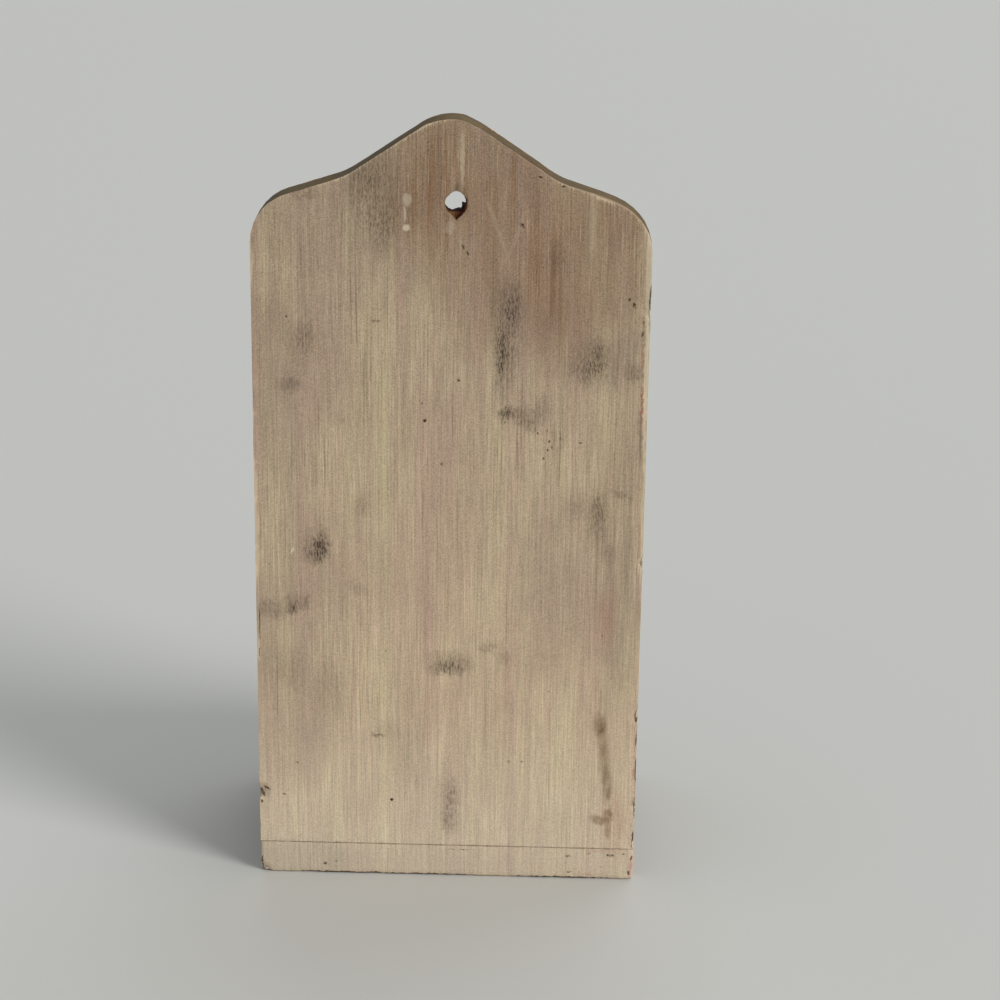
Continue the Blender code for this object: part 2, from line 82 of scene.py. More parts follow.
camera = bpy.data.objects.new("photo_camera", bpy.data.cameras.new("photo_camera"))
bpy.context.scene.collection.objects.link(camera)
camera.data.lens = CAMERA_LENS
sight = Vector((
    -math.sin(CAMERA_PAN) * math.cos(CAMERA_TILT),
    -math.cos(CAMERA_PAN) * math.cos(CAMERA_TILT),
    -math.sin(CAMERA_TILT),
))
aim = sight.to_track_quat("-Z", "Y").to_matrix().to_4x4()
camera.matrix_world = Matrix.Translation(CAMERA_PLACE) @ aim @ Matrix.Rotation(CAMERA_ROLL, 4, "Z")
bpy.context.scene.camera = camera
print("camera", round(CAMERA_PLACE.length / MM), "mm from the foot of the holder")

# %% [markdown]
# ## Floor and light
# A plain pale floor stands for the shelf. Daylight came through a large window on the right and
# behind the camera. A Sun lamp with a wide angle gives the same soft shadow, and lights the floor
# evenly all the way to the horizon, which an area lamp doesn't. A weaker, wider one keeps the front
# of the holder readable, and the pale world fills the shadows, as white walls do. The Standard view
# transform shows paint colours as they are mixed, so they can be matched by eye.

# %% Floor, world and two soft lamps
FLOOR_SIZE = 60.0
FLOOR_COLOUR = (0.60, 0.60, 0.575, 1.0)
FLOOR_ROUGHNESS = 0.6
FLOOR_SHINE = 0.15
WORLD_COLOUR = (0.95, 0.98, 1.0, 1.0)
WORLD_STRENGTH = 0.42
AIM_POINT = Vector((0, 0, 0.13))

bpy.context.scene.view_settings.view_transform = "Standard"
bpy.ops.mesh.primitive_plane_add(size=FLOOR_SIZE, location=(0, 0, 0))
floor = bpy.context.active_object
floor.name = "floor"
floor_paint = bpy.data.materials.new("pale_floor")
floor_paint.use_nodes = True
floor_shader = floor_paint.node_tree.nodes["Principled BSDF"]
floor_shader.inputs["Base Color"].default_value = FLOOR_COLOUR
floor_shader.inputs["Roughness"].default_value = FLOOR_ROUGHNESS
floor_shader.inputs["Specular IOR Level"].default_value = FLOOR_SHINE
floor.data.materials.append(floor_paint)

world = bpy.data.worlds.new("pale_room")
bpy.context.scene.world = world
world.use_nodes = True
world.node_tree.nodes["Background"].inputs["Color"].default_value = WORLD_COLOUR
world.node_tree.nodes["Background"].inputs["Strength"].default_value = WORLD_STRENGTH


def soft_lamp(name, place, width, strength, colour):
    """A Sun lamp that shines from a place to the middle of the holder. Its width is in degrees."""
    lamp = bpy.data.objects.new(name, bpy.data.lights.new(name, "SUN"))
    lamp.data.angle = math.radians(width)
    lamp.data.energy = strength
    lamp.data.color = colour
    lamp.location = place
    lamp.rotation_euler = (AIM_POINT - Vector(place)).to_track_quat("-Z", "Y").to_euler()
    bpy.context.scene.collection.objects.link(lamp)
    print(name, "strength", strength)


soft_lamp("window", place=(-1.35, 0.95, 1.05), width=24, strength=2.0, colour=(1.0, 0.985, 0.955))
soft_lamp("far_side", place=(-0.6, -1.5, 1.9), width=60, strength=0.7, colour=(0.97, 0.985, 1.0))

# %% [markdown]
# ## Hand tools
# The next helpers do what a modeller does with the mouse. `only` picks one object, `editing` goes
# into edit mode and comes back, and `select` picks vertices, edges or faces by a test on each one.
# A copy of an engineering board is made of loose triangles, so `fresh_copy` welds them and
# dissolves the flat ones into clean faces before anything is shaped. `apply_modifier` adds a
# modifier, sets it and makes its result part of the mesh.

# %% Selecting, editing and copying
WELD = 0.002 * MM
FLAT_ANGLE = math.radians(0.6)


def only(piece):
    """Selects one object and nothing else."""
    bpy.ops.object.select_all(action="DESELECT")
    piece.select_set(True)
    bpy.context.view_layer.objects.active = piece


@contextmanager
def editing(piece):
    """Edit mode on one piece with all of it selected, and object mode again afterwards."""
    only(piece)
    bpy.ops.object.mode_set(mode="EDIT")
    bpy.ops.mesh.select_all(action="SELECT")
    yield piece
    bpy.ops.object.mode_set(mode="OBJECT")


def select(piece, kind, chosen):
    """In edit mode, selects the verts, edges or faces that chosen says yes to."""
    bpy.ops.mesh.select_mode(type={"verts": "VERT", "edges": "EDGE", "faces": "FACE"}[kind])
    bpy.ops.mesh.select_all(action="DESELECT")
    shape = bmesh.from_edit_mesh(piece.data)
    shape.normal_update()
    for element in getattr(shape, kind):
        if chosen(element):
            element.select_set(True)
    shape.select_flush_mode()
    bmesh.update_edit_mesh(piece.data)


def fresh_copy(node, name):
    """A clean copy of an engineering board, welded and with its flat faces whole."""
    piece = bpy.data.objects.new(name, NODES[node].data.copy())
    bpy.context.scene.collection.objects.link(piece)
    piece.data.materials.clear()
    only(piece)
    bpy.ops.mesh.customdata_custom_splitnormals_clear()
    with editing(piece):
        bpy.ops.mesh.remove_doubles(threshold=WELD)
        bpy.ops.mesh.dissolve_limited(angle_limit=FLAT_ANGLE)
    return piece


def apply_modifier(piece, kind, **settings):
    """Adds a modifier, sets it and applies it."""
    only(piece)
    modifier = piece.modifiers.new(kind.lower(), kind)
    for name, value in settings.items():
        setattr(modifier, name, value)
    bpy.ops.object.modifier_apply(modifier=modifier.name)


# %% [markdown]
# ## Cutting a board into a grid
# A board straight from the engineering model has a few huge faces, and nothing on them can be
# shaped. We slice it with evenly spaced planes, like a loaf, along all three axes. The bisect
# operator does this in edit mode. A tilted board, such as the lid, is sliced along its own axes.
# Where a chip or a splintered hole needs finer detail, the faces nearby are subdivided once more.

# %% Slicing
def slice_board(piece, spacing, tilt=None):
    """Bisects the whole mesh along planes that are spacing apart, square to the board's axes."""
    tilt = tilt or Matrix.Identity(3)
    count = 0
    with editing(piece):
        for axis in range(3):
            normal = tilt.col[axis].copy()
            reach = [vertex.co.dot(normal) for vertex in piece.data.vertices]
            low, high = min(reach), max(reach)
            steps = round((high - low) / spacing)
            for step in range(1, steps):
                bpy.ops.mesh.select_all(action="SELECT")
                at = normal * (low + (high - low) * step / steps)
                bpy.ops.mesh.bisect(plane_co=at, plane_no=normal)
                count += 1
    print(piece.name, "cut by", count, "planes into", len(piece.data.polygons), "faces")


def refine(piece, places, cuts):
    """Subdivides the faces near some places, each given with its radius."""
    with editing(piece):
        select(piece, "faces", lambda face: any(
            (face.calc_center_median() - Vector(place)).length < radius for place, radius in places
        ))
        bpy.ops.mesh.subdivide(number_cuts=cuts)
        bpy.ops.mesh.select_all(action="SELECT")
        bpy.ops.mesh.quads_convert_to_tris()


# %% [markdown]
# ## Wearing the arrises
# An arris is the sharp edge where two faces of a board meet. Decades of hands and shelves rub it
# unevenly, knock chips out of it and bare the wood. We find the arris vertices by the angle between
# their faces, and push them into the wood by an amount that a fractal noise decides, with a deeper
# push at each chip. How near a vertex lies to an arris is kept as the attribute `rubbed`, so that
# the paint can wear through in the same places. Wood round a nail or screw, and wood that is glued
# to another board, stays as it is.

# %% Where wood is sheltered
FASTENER_MARGIN = 0.9 * MM
JOINT_MARGIN = 0.5 * MM
FASTENERS = [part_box(name) for name in NODES if "nail" in name or "screw" in name]
GLUED_BOARDS = ("back_board", "bottom_board", "left_side", "right_side", "front_board")
print(len(FASTENERS), "nails and screws shelter the wood round them")


def in_boxes(point, boxes, margin):
    """True inside one of the boxes, each grown by a margin."""
    return any(
        all(low[axis] - margin < point[axis] < high[axis] + margin for axis in range(3))
        for low, high in boxes
    )


def shelter_of(node):
    """A test that says whether a point of that board is glued or close to a nail or screw."""
    glued = [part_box(other) for other in GLUED_BOARDS if node in GLUED_BOARDS and other != node]

    def sheltered(point):
        return in_boxes(point, FASTENERS, FASTENER_MARGIN) or in_boxes(point, glued, JOINT_MARGIN)

    return sheltered


# %% How deep the wear goes
WEAR_LENGTH = 6.0 * MM
WEAR_FINE_LENGTH = 1.6 * MM
WEAR_DIMENSION = 0.9
WEAR_LACUNARITY = 2.1
WEAR_OCTAVES = 3
WEAR_LIFT = 0.25
WEAR_BROAD_SHARE = 0.8
WEAR_FINE_SHARE = 0.5
WAVE_LENGTH = 38.0 * MM
WAVE_DEPTH = 0.06 * MM
CHIP_GRAIN = 0.9 * MM
CHIP_STEEPNESS = 2.2
CHIP_FLOOR_SHARE = 0.75
CHIP_RAGGED_SHARE = 0.5


def rub_depth(point, least, most):
    """How deep an arris is rubbed at a point, from least to most."""
    broad = noise.fractal(point / WEAR_LENGTH, WEAR_DIMENSION, WEAR_LACUNARITY, WEAR_OCTAVES)
    broad = max(0.0, broad + WEAR_LIFT)
    fine = abs(noise.noise(point / WEAR_FINE_LENGTH))
    return least + (most - least) * min(1, WEAR_BROAD_SHARE * broad + WEAR_FINE_SHARE * fine)


def chip_depth(point, chips):
    """How deep the chips go at a point, with a ragged floor. A chip is (place, radius, depth)."""
    depth = 0.0
    for place, radius, deepest in chips:
        away = (point - Vector(place)).length / radius
        if away < 1:
            ragged = CHIP_FLOOR_SHARE + CHIP_RAGGED_SHARE * noise.noise(point / CHIP_GRAIN)
            depth = max(depth, deepest * min(1, CHIP_STEEPNESS * (1 - away)) * ragged)
    return depth


def face_depth(point, chips):
    """How deep a face lies at a point: a long low wave of the plane, or a chip."""
    swell = 0.5 + 0.5 * noise.noise(point / WAVE_LENGTH)
    return max(WAVE_DEPTH * swell, chip_depth(point, chips))


# %% Wearing a board
ARRIS_ANGLE = math.radians(14)
RUB_REACH = 3.2 * MM
SMOOTH_ANGLE = math.radians(58)


def tree_of(places):
    """A search tree that finds the nearest of many places."""
    tree = kdtree.KDTree(len(places))
    for index, place in enumerate(places):
        tree.insert(place, index)
    tree.balance()
    return tree


def wear_board(piece, node, least, most, chips=()):
    """Rubs the arrises of a sliced board by least to most, and stores where they are."""
    sheltered = shelter_of(node)
    shape = bmesh.new()
    shape.from_mesh(piece.data)
    shape.normal_update()
    arris = [
        vertex for vertex in shape.verts
        if any(edge.calc_face_angle(0) > ARRIS_ANGLE for edge in vertex.link_edges)
        and not sheltered(vertex.co)
    ]
    tree = tree_of([vertex.co for vertex in arris])
    rubbed = [max(0.0, 1 - tree.find(vertex.co)[2] / RUB_REACH) for vertex in shape.verts]
    moves = {
        vertex: 0.0 if sheltered(vertex.co) else face_depth(vertex.co, chips)
        for vertex in shape.verts
    }
    for vertex in arris:
        moves[vertex] = max(moves[vertex], rub_depth(vertex.co, least, most))
    places = {vertex: vertex.co - vertex.normal * depth for vertex, depth in moves.items()}
    for vertex, place in places.items():
        vertex.co = place
    shape.to_mesh(piece.data)
    shape.free()
    layer = piece.data.attributes.new("rubbed", "FLOAT", "POINT")
    layer.data.foreach_set("value", rubbed)
    only(piece)
    bpy.ops.object.shade_smooth_by_angle(angle=SMOOTH_ANGLE)
    print(piece.name, "has", len(arris), "arris vertices, rubbed up to",
          round(max(moves.values()) / MM, 2), "mm")


# %% [markdown]
# ## Wires
# A shader is a web of small nodes. To write one as a sum on paper, a `Wire` stands for a socket:
# adding or multiplying wires adds the Math node that does it, and `add` makes any other node from
# its type, its settings and what goes into it. `noise` gives clouds or streaks of a length in
# millimetres, `mix` lays one colour over another, and `lights` brightens or darkens a colour.

# %% The Wire class
BLACK = (0.0, 0.0, 0.0, 1.0)


class Wire:
    """A socket of a shader, on which sums are written as Python expressions."""

    def __init__(self, tree, socket=None):
        self.tree = tree
        self.socket = socket

    def add(self, kind, settings=None, inputs=None, output=0):
        """Adds a node of that kind: its settings first, then the values or wires of its inputs."""
        node = self.tree.nodes.new(kind)
        for name, value in (settings or {}).items():
            setattr(node, name, value)
        for name, value in (inputs or {}).items():
            if isinstance(value, Wire):
                self.tree.links.new(value.socket, node.inputs[name])
            else:
                node.inputs[name].default_value = value
        return Wire(self.tree, node.outputs[output])

    def math(self, operation, *values):
        """A Math node on some numbers or wires."""
        return self.add("ShaderNodeMath", {"operation": operation}, dict(enumerate(values)))

    def vector_math(self, operation, *values, output=0):
        """A Vector Math node on some vectors or wires."""
        inputs = dict(enumerate(values))
        return self.add("ShaderNodeVectorMath", {"operation": operation}, inputs, output)

    def __add__(self, other):
        return self.math("ADD", self, other)

    def __sub__(self, other):
        return self.math("SUBTRACT", self, other)

    def __rsub__(self, other):
        return self.math("SUBTRACT", other, self)

    def __mul__(self, other):
        return self.math("MULTIPLY", self, other)

    __radd__ = __add__
    __rmul__ = __mul__

    def between(self, low, high, smooth=True, top=1.0):
        """0 at low and top at high, or falling where low is above high, and flat past them."""
        way = "SMOOTHSTEP" if smooth else "LINEAR"
        limits = {"Value": self, "From Min": low, "From Max": high, "To Max": top}
        return self.add("ShaderNodeMapRange", {"interpolation_type": way}, limits)

    def noise(self, size, detail=2.0, roughness=0.5, shift=0.0):
        """Cloudy noise round 0.5, whose lumps are as long along each axis as size, in mm."""
        scale = tuple(1 / length for length in size)
        place = {"Vector": self, "Location": (shift, -shift, shift / 2), "Scale": scale}
        vector = self.add("ShaderNodeMapping", {"vector_type": "POINT"}, place)
        texture = {"Vector": vector, "Scale": 1.0, "Detail": detail, "Roughness": roughness}
        return self.add("ShaderNodeTexNoise", {}, texture)

    def mix(self, under, over):
        """The colour over on the colour under, as far as this wire says."""
        return self.add("ShaderNodeMix", {"data_type": "RGBA"}, {0: self, 6: under, 7: over}, 2)

    def lights(self, colour):
        """A colour times this wire, which may be more than 1."""
        settings = {"data_type": "RGBA", "clamp_factor": False}
        return self.add("ShaderNodeMix", settings, {0: self, 6: BLACK, 7: colour}, 2)


def srgb(red, green, blue):
    """A colour as a paint card gives it, from 0 to 255, in linear values."""
    def linear(value):
        share = value / 255
        return share / 12.92 if share < 0.04045 else ((share + 0.055) / 1.055) ** 2.4

    return (linear(red), linear(green), linear(blue), 1.0)


# %% [markdown]
# ## Starting and closing a finish
# Every finish begins with the place on the object in millimetres, and ends in one Principled shader.
# The heights that a finish works out are millimetres too, so the Bump node gets a distance of one
# millimetre and needs no guessing. `grain` gives a noise one length along the grain and another
# across it, because wood looks streaked in one direction only.

# %% Begin and end of a material
def begin(name):
    """A new material, and the place on the object in millimetres."""
    material = bpy.data.materials.new(name)
    material.use_nodes = True
    metres = Wire(material.node_tree).add("ShaderNodeTexCoord", output="Object")
    millimetres = {"Vector": metres, "Scale": (1 / MM, 1 / MM, 1 / MM)}
    return material, metres.add("ShaderNodeMapping", {"vector_type": "POINT"}, millimetres)


def close(material, colour, roughness, height, metallic=0.0, specular=0.4):
    """Feeds colour, roughness and relief to the shader."""
    shader = material.node_tree.nodes["Principled BSDF"]
    bump = colour.add("ShaderNodeBump", {}, {"Height": height, "Strength": 1.0, "Distance": MM})
    links = material.node_tree.links
    links.new(colour.socket, shader.inputs["Base Color"])
    links.new(bump.socket, shader.inputs["Normal"])
    for name, value in (("Roughness", roughness), ("Metallic", metallic)):
        if isinstance(value, Wire):
            links.new(value.socket, shader.inputs[name])
        else:
            shader.inputs[name].default_value = value
    shader.inputs["Specular IOR Level"].default_value = specular
    print(material.name, "has", len(material.node_tree.nodes), "nodes")
    return material


def grain(axis, along, across):
    """The lengths of a pattern that runs along one axis of a board, in mm."""
    return tuple(along if index == axis else across for index in range(3))


# %% [markdown]
# ## Measures of the boards
# The finishes change from one face of a board to the next, so they have to know where those faces
# lie. We read them once, in millimetres, and nothing has to be measured by hand or set again when
# the model changes.

# %% Where the faces of the boards lie, in mm
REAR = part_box("back_board")[1].y / MM
BACK_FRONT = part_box("back_board")[0].y / MM
HALF_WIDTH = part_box("back_board")[1].x / MM
FRONT_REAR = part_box("front_board")[1].y / MM
FLOOR_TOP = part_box("bottom_board")[1].z / MM
HALF_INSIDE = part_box("right_side")[0].x / MM
RIM_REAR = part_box("left_side")[1].z / MM
print("back face at", round(REAR, 2), "mm, inside half width", round(HALF_INSIDE, 2), "mm")

# %% [markdown]
# ## Bare pine
# Inside the box the wood was never painted. Flat-sawn pine shows wavy year rings, pale early wood
# and brown late wood, and a fine fibre. Folding a stretched noise back and forth with a ping-pong
# node draws the rings: each crossing of a whole number is one year.

# %% Bare pine
PINE_PALE = srgb(206, 173, 128)
PINE_LATE = srgb(180, 136, 92)
PINE_AGED = srgb(128, 92, 62)
RING_COUNT = 15
PINE_ROUGHNESS = 0.72


def bare_pine(place, axis):
    """Colour, roughness and relief of raw wood whose grain runs along that axis."""
    years = place.noise(grain(axis, 170, 16), 1.0, shift=3.1) * RING_COUNT
    late = years.math("PINGPONG", years, 1.0).between(0.55, 0.98)
    fibre = place.noise(grain(axis, 9, 0.45), 3.0, 0.65)
    stain = place.noise((26, 26, 26), 3.0, 0.6, shift=8.0).between(0.45, 0.75)
    colour = (late * 0.55).mix(PINE_PALE, PINE_LATE)
    colour = (stain * 0.45).mix(colour, PINE_AGED)
    colour = (fibre * 0.5 + 0.72).lights(colour)
    return colour, fibre * 0.15 + PINE_ROUGHNESS, fibre * 0.05 - late * 0.02


# %% [markdown]
# ## Olive paint over barn red
# The edge of the crest shows a dull olive-brown paint, and the worn arrises show traces of dark red
# below it. So the outside is painted twice: a red first coat and an olive top coat, brushed along
# the grain. Where `rubbed` is high, and where noise says so, the top coat is gone, and past that
# the red is gone too. The coats have thickness, so their broken edges catch the light.

# %% Olive paint
OLIVE_DARK = srgb(72, 59, 34)
OLIVE_WARM = srgb(112, 88, 51)
OLIVE_GREEN = srgb(79, 74, 41)
BARN_RED = srgb(106, 45, 36)
BARE_EDGE = srgb(176, 138, 96)
GRIME = srgb(44, 36, 26)


def olive_paint(place, axis):
    """Colour, roughness and relief of the worn paint, brushed along that axis."""
    rubbed = place.add("ShaderNodeAttribute", {"attribute_name": "rubbed"}, {}, "Fac")
    cloud = place.noise(grain(axis, 90, 26), 3.0, 0.6)
    green = place.noise(grain(axis, 140, 30), 2.0, 0.5, shift=5.0).between(0.42, 0.66)
    brush = place.noise(grain(axis, 60, 1.3), 4.0, 0.65, shift=2.0)
    fibre = place.noise(grain(axis, 12, 0.35), 2.0, 0.6, shift=9.0)
    nibble = place.noise((2.4, 2.4, 2.4), 4.0, 0.65, shift=1.0)
    patch = place.noise(grain(axis, 26, 9), 3.0, 0.6, shift=6.0)
    scuffs = place.noise(grain(axis, 5, 0.7), 3.0, 0.7, shift=12.0).between(0.68, 0.74)
    dirt = place.noise((7, 7, 7), 4.0, 0.7, shift=15.0).between(0.55, 0.75)
    worn = rubbed * 0.80 + (nibble - 0.5) * 1.4 + (patch - 0.5) * 2.0 + scuffs * 0.85
    red = worn.between(0.70, 0.78)
    wood = worn.between(0.84, 0.96)
    colour = (cloud + (brush - 0.5) * 0.7).between(0.22, 0.78).mix(OLIVE_DARK, OLIVE_WARM)
    colour = (green * 0.3).mix(colour, OLIVE_GREEN)
    colour = (brush * 0.5 + 0.75).lights(colour)
    colour = (dirt * 0.28).mix(colour, GRIME)
    colour = red.mix(colour, BARN_RED)
    colour = wood.mix(colour, BARE_EDGE)
    colour = (fibre * 0.28 + 0.86).lights(colour)
    roughness = brush * 0.16 + red * 0.1 + wood * 0.1 + 0.5
    height = brush * 0.05 + fibre * 0.02 - red * 0.035 - wood * 0.03
    return colour, roughness, height


# %% [markdown]
# ## The cream wash on the back
# The back was never painted. A thin cream wash lies on the bare wood, thicker in some bands of the
# grain than in others, so the pinkish wood shows through in long streaks. It is dull, and sooty
# fingers have left smudges. The bands and streaks are noise stretched along the grain. Each smudge,
# speck and drip is a soft oval at its own place on the board, written as (x, z, half width,
# half height, lean, strength) in millimetres and degrees. All ovals are read through a slightly
# shaken coordinate, which makes their outlines ragged.

# %% Sooty smudges
SMUDGES = (
    (27, 257, 14, 19, 0, 0.42),
    (30, 267, 9, 9, 0, 0.22),
    (23, 245, 6, 12, 0, 0.22),
    (-20.5, 217, 8.0, 18, 0, 0.46),
    (-22.0, 219, 4.2, 10, 0, 0.34),
    (-17.6, 203, 2.2, 11, 0, 0.62),
    (-19.6, 200, 4.6, 12, 0, 0.34),
    (-18, 189, 2.8, 6, 0, 0.30),
    (-19.5, 181.6, 4.2, 3.0, 0, 0.72),
    (-26, 180.4, 9.0, 4.2, 0, 0.46),
    (-32.5, 184.6, 3.6, 5.0, 0, 0.32),
    (-29, 176.5, 3.4, 2.4, 0, 0.42),
    (-37.5, 172, 3.6, 7.5, 0, 0.24),
    (-49.5, 201, 10.5, 12, 0, 0.34),
    (-51.4, 203, 4.8, 7.5, 0, 0.36),
    (-47.5, 197.5, 5.6, 5.0, 0, 0.24),
    (-64.5, 197.4, 4.0, 4.2, 0, 0.44),
    (51.5, 206, 7.5, 10, 0, 0.28),
    (51.0, 208, 3.4, 8, 0, 0.22),
    (56.5, 190.4, 5.2, 3.6, 0, 0.42),
    (39, 178, 3.6, 3.2, 0, 0.20),
    (48.6, 129.5, 6.4, 7.4, 20, 0.48),
    (47.2, 128.5, 3.4, 5.4, 20, 0.62),
    (45.4, 133.5, 2.6, 6.0, 0, 0.40),
    (56.8, 106.6, 3.2, 3.6, 0, 0.78),
    (52.0, 107.4, 2.4, 3.2, 0, 0.50),
    (56, 110.4, 7.0, 2.2, 0, 0.34),
    (64.5, 105.5, 6.0, 4.8, 0, 0.42),
    (31.6, 147, 4.0, 6.5, 0, 0.30),
    (32.5, 114.4, 6.0, 3.2, 20, 0.24),
    (-53.0, 143, 4.4, 12, 0, 0.44),
    (-53.4, 148, 3.2, 7, 0, 0.20),
    (-45.2, 147, 4.4, 6.4, 20, 0.30),
    (-61.0, 152.5, 5.6, 2.4, 20, 0.32),
    (-57.4, 129.6, 3.2, 4.6, 0, 0.34),
    (-0.6, 86.2, 10.4, 5.8, 0, 0.46),
    (0.4, 83.4, 8.4, 3.2, 0, 0.44),
    (-15.0, 92.4, 5.4, 2.6, -20, 0.34),
    (-20.4, 89.0, 3.6, 2.6, -20, 0.30),
    (22.5, 58.6, 7.0, 4.2, 20, 0.16),
    (25.4, 56.4, 3.6, 1.3, 0, 0.50),
    (-1.6, 33, 4.2, 8, 0, 0.44),
    (-0.4, 23.4, 4.4, 6.4, 0, 0.44),
    (63, 215, 6, 20, 0, 0.14),
    (-37, 237, 4.6, 8, 0, 0.32),
    (-2.0, 262.0, 1.5, 1.3, 0, 0.50),
    (-5.0, 260.0, 0.9, 1.3, 0, 0.50),
    (-6.0, 257.6, 0.6, 2.0, 0, 0.50),
    (-36, 214, 6, 18, 0, 0.16),
    (56, 82, 6.0, 12, 0, 0.26),
    (42, 74, 8.0, 12, 0, 0.18),
    (64, 84, 5.0, 10, 0, 0.20),
)
print(len(SMUDGES), "smudges")

# %% Dark specks, cracks and chips at the edges, and a painted contact shadow along the foot
SPECKS = (
    (-3.1, 193.3, 0.75, 0.75, 0, 0.9),
    (8.8, 178.4, 0.8, 0.8, 0, 1.0),
    (9.9, 185.0, 0.4, 1.1, 20, 0.6),
    (57.3, 215.3, 0.7, 0.7, 0, 0.9),
    (-24.6, 249.4, 0.9, 1.7, -20, 0.9),
    (-4.3, 241.6, 0.6, 1.3, -20, 0.7),
    (-5.8, 239.2, 0.5, 1.2, -20, 0.8),
    (-62.3, 223.8, 0.8, 0.8, 0, 1.0),
    (-64.1, 221.5, 0.8, 1.7, -20, 1.0),
    (-36.9, 75.7, 0.6, 0.6, 0, 0.9),
    (20.6, 30.8, 0.95, 0.95, 0, 1.0),
    (-30.6, 266.5, 1.3, 0.6, 0, 0.9),
    (-28.0, 266.0, 0.9, 0.5, 0, 0.6),
    (55.5, 45.0, 1.2, 0.6, 0, 0.5),
    (60.5, 32.3, 0.9, 0.7, 0, 0.7),
    (45.4, 4.2, 1.2, 0.8, 0, 0.7),
    (41.7, 4.9, 1.0, 0.5, 0, 0.7),
    (-61.2, 9.9, 1.9, 0.9, 0, 1.0),
    (-53.1, 10.5, 1.2, 0.6, 0, 0.7),
    (-45.3, 9.4, 1.5, 0.7, 0, 0.6),
    (-45.8, 2.8, 1.3, 0.6, 0, 0.7),
    (-33.5, 165.2, 0.5, 0.6, 0, 0.8),
    (-35.0, 168.4, 0.4, 0.7, 0, 0.8),
    (-31.2, 174.4, 0.5, 0.6, 0, 0.8),
    (-46.5, 171.4, 1.0, 0.4, 0, 0.6),
    (2.7, 162.5, 1.0, 0.6, 0, 0.6),
    (-44.7, 265.0, 0.7, 0.6, 0, 0.5),
    (-38.6, 263.2, 0.9, 0.6, 0, 0.8),
    (-55.8, 98.1, 0.5, 0.5, 0, 0.7),
    (-22.7, 47.3, 0.8, 0.7, 0, 0.5),
    (-27.5, 47.5, 0.7, 0.6, 0, 0.5),
    (26.1, 214.5, 2.4, 0.8, 0, 0.4),
    (22.8, 90.4, 0.8, 0.8, 0, 0.4),
    (25, 57.0, 1.8, 0.5, 0, 0.6),
    (-67.5, 215.8, 0.55, 2.8, 0, 0.6),
    (-67.2, 211.4, 0.8, 1.8, 20, 0.6),
    (-35.3, 171.6, 0.35, 0.9, 0, 0.8),
    (-36.4, 169.6, 0.35, 1.1, 0, 0.8),
    (-39.4, 172.6, 0.30, 1.2, 0, 0.6),
    (-34.7, 175.6, 0.30, 0.9, 0, 0.6),
    (-5.6, 10.9, 7.8, 0.22, 0, 0.6),
)
EDGE_CRACKS_AND_FOOT_SHADOW = (
    (68.7, 101, 0.30, 13, 0, 1.0),
    (68.9, 89, 0.40, 4, 0, 0.8),
    (-69.5, 224.5, 0.60, 7, 0, 1.0),
    (-69.4, 65, 0.9, 2.2, 0, 0.9),
    (-69.5, 57, 0.55, 6, 0, 0.75),
    (-69.5, 45, 0.55, 9, 0, 0.75),
    (-69.5, 30, 0.55, 9, 0, 0.75),
    (-69.4, 18, 0.55, 6, 0, 0.75),
    (-69.5, 126.5, 0.45, 1.9, 0, 0.8),
    (67.0, 34.4, 2.2, 0.9, 20, 1.0),
    (68.6, 32.5, 0.9, 3.6, -20, 1.0),
    (69.0, 29.0, 0.9, 1.6, 0, 0.8),
    (69.2, 5.0, 0.8, 3.0, 0, 0.8),
    (68.4, 0.8, 1.6, 0.8, 0, 0.8),
    (-69.0, 9.0, 0.8, 2.4, 20, 0.7),
    (-68.2, 3.0, 1.4, 2.2, -20, 0.7),
    (-66.0, 10.6, 1.0, 0.6, 0, 0.6),
    (-67.6, 6.4, 0.6, 0.6, 0, 0.6),
    # The last three rows are not cracks: they paint the contact shadow along the foot, where the board meets the
    # floor.
    (40, 0.3, 32, 1.0, 0, 0.95),
    (4, 0.3, 28, 0.9, 0, 0.90),
    (-42, 0.3, 32, 1.0, 0, 0.95),
)
print(len(SPECKS), "specks and", len(EDGE_CRACKS_AND_FOOT_SHADOW), "crack_and_shadow_marks")

# %% Places where the wash is reddened, darker and greyer, or worn to brown wood
CRIMSON = (
    (-67.4, 186, 0.7, 11, 0, 1.0),
    (-67.5, 203, 0.5, 11, 0, 0.7),
    (-69.4, 44, 0.8, 24, 0, 0.60),
    (-56, 103, 8.0, 22, 0, 0.15),
    (-58.5, 106, 5.0, 16, 0, 0.08),
    (-62.5, 24, 8.5, 20, 0, 0.28),
    (-52, 1.5, 6, 1.2, 0, 0.30),
    (-66, 1.0, 4, 1.0, 0, 0.35),
    (-57, 12.2, 12, 0.8, 0, 0.30),
    (-69, 6, 1.8, 9, 0, 0.50),
)
GREY_PLACES = (
    (-62, 112, 18, 62, 0, 0.36),
    (-38, 122, 22, 64, 0, 0.19),
    (10, 5, 64, 10, 0, 0.15),
    (16, 62, 14, 40, 0, 0.12),
    (56, 88, 30, 76, 0, 0.27),
    (58, 168, 15, 50, 0, 0.22),
    (-63, 202, 10, 18, 0, 0.27),
    (-65, 168, 7, 26, 0, 0.26),
    (-67.0, 176, 1.1, 17, 0, 0.34),
    (54, 6, 26, 12, 0, 0.40),
    (4.4, 264, 1.5, 28, 0, 0.34),
    (9.5, 258, 1.1, 22, 0, 0.28),
    (50, 258.8, 8, 1.9, 0, 0.34),
    (-6.9, 246, 1.0, 9, 0, 0.26),
)
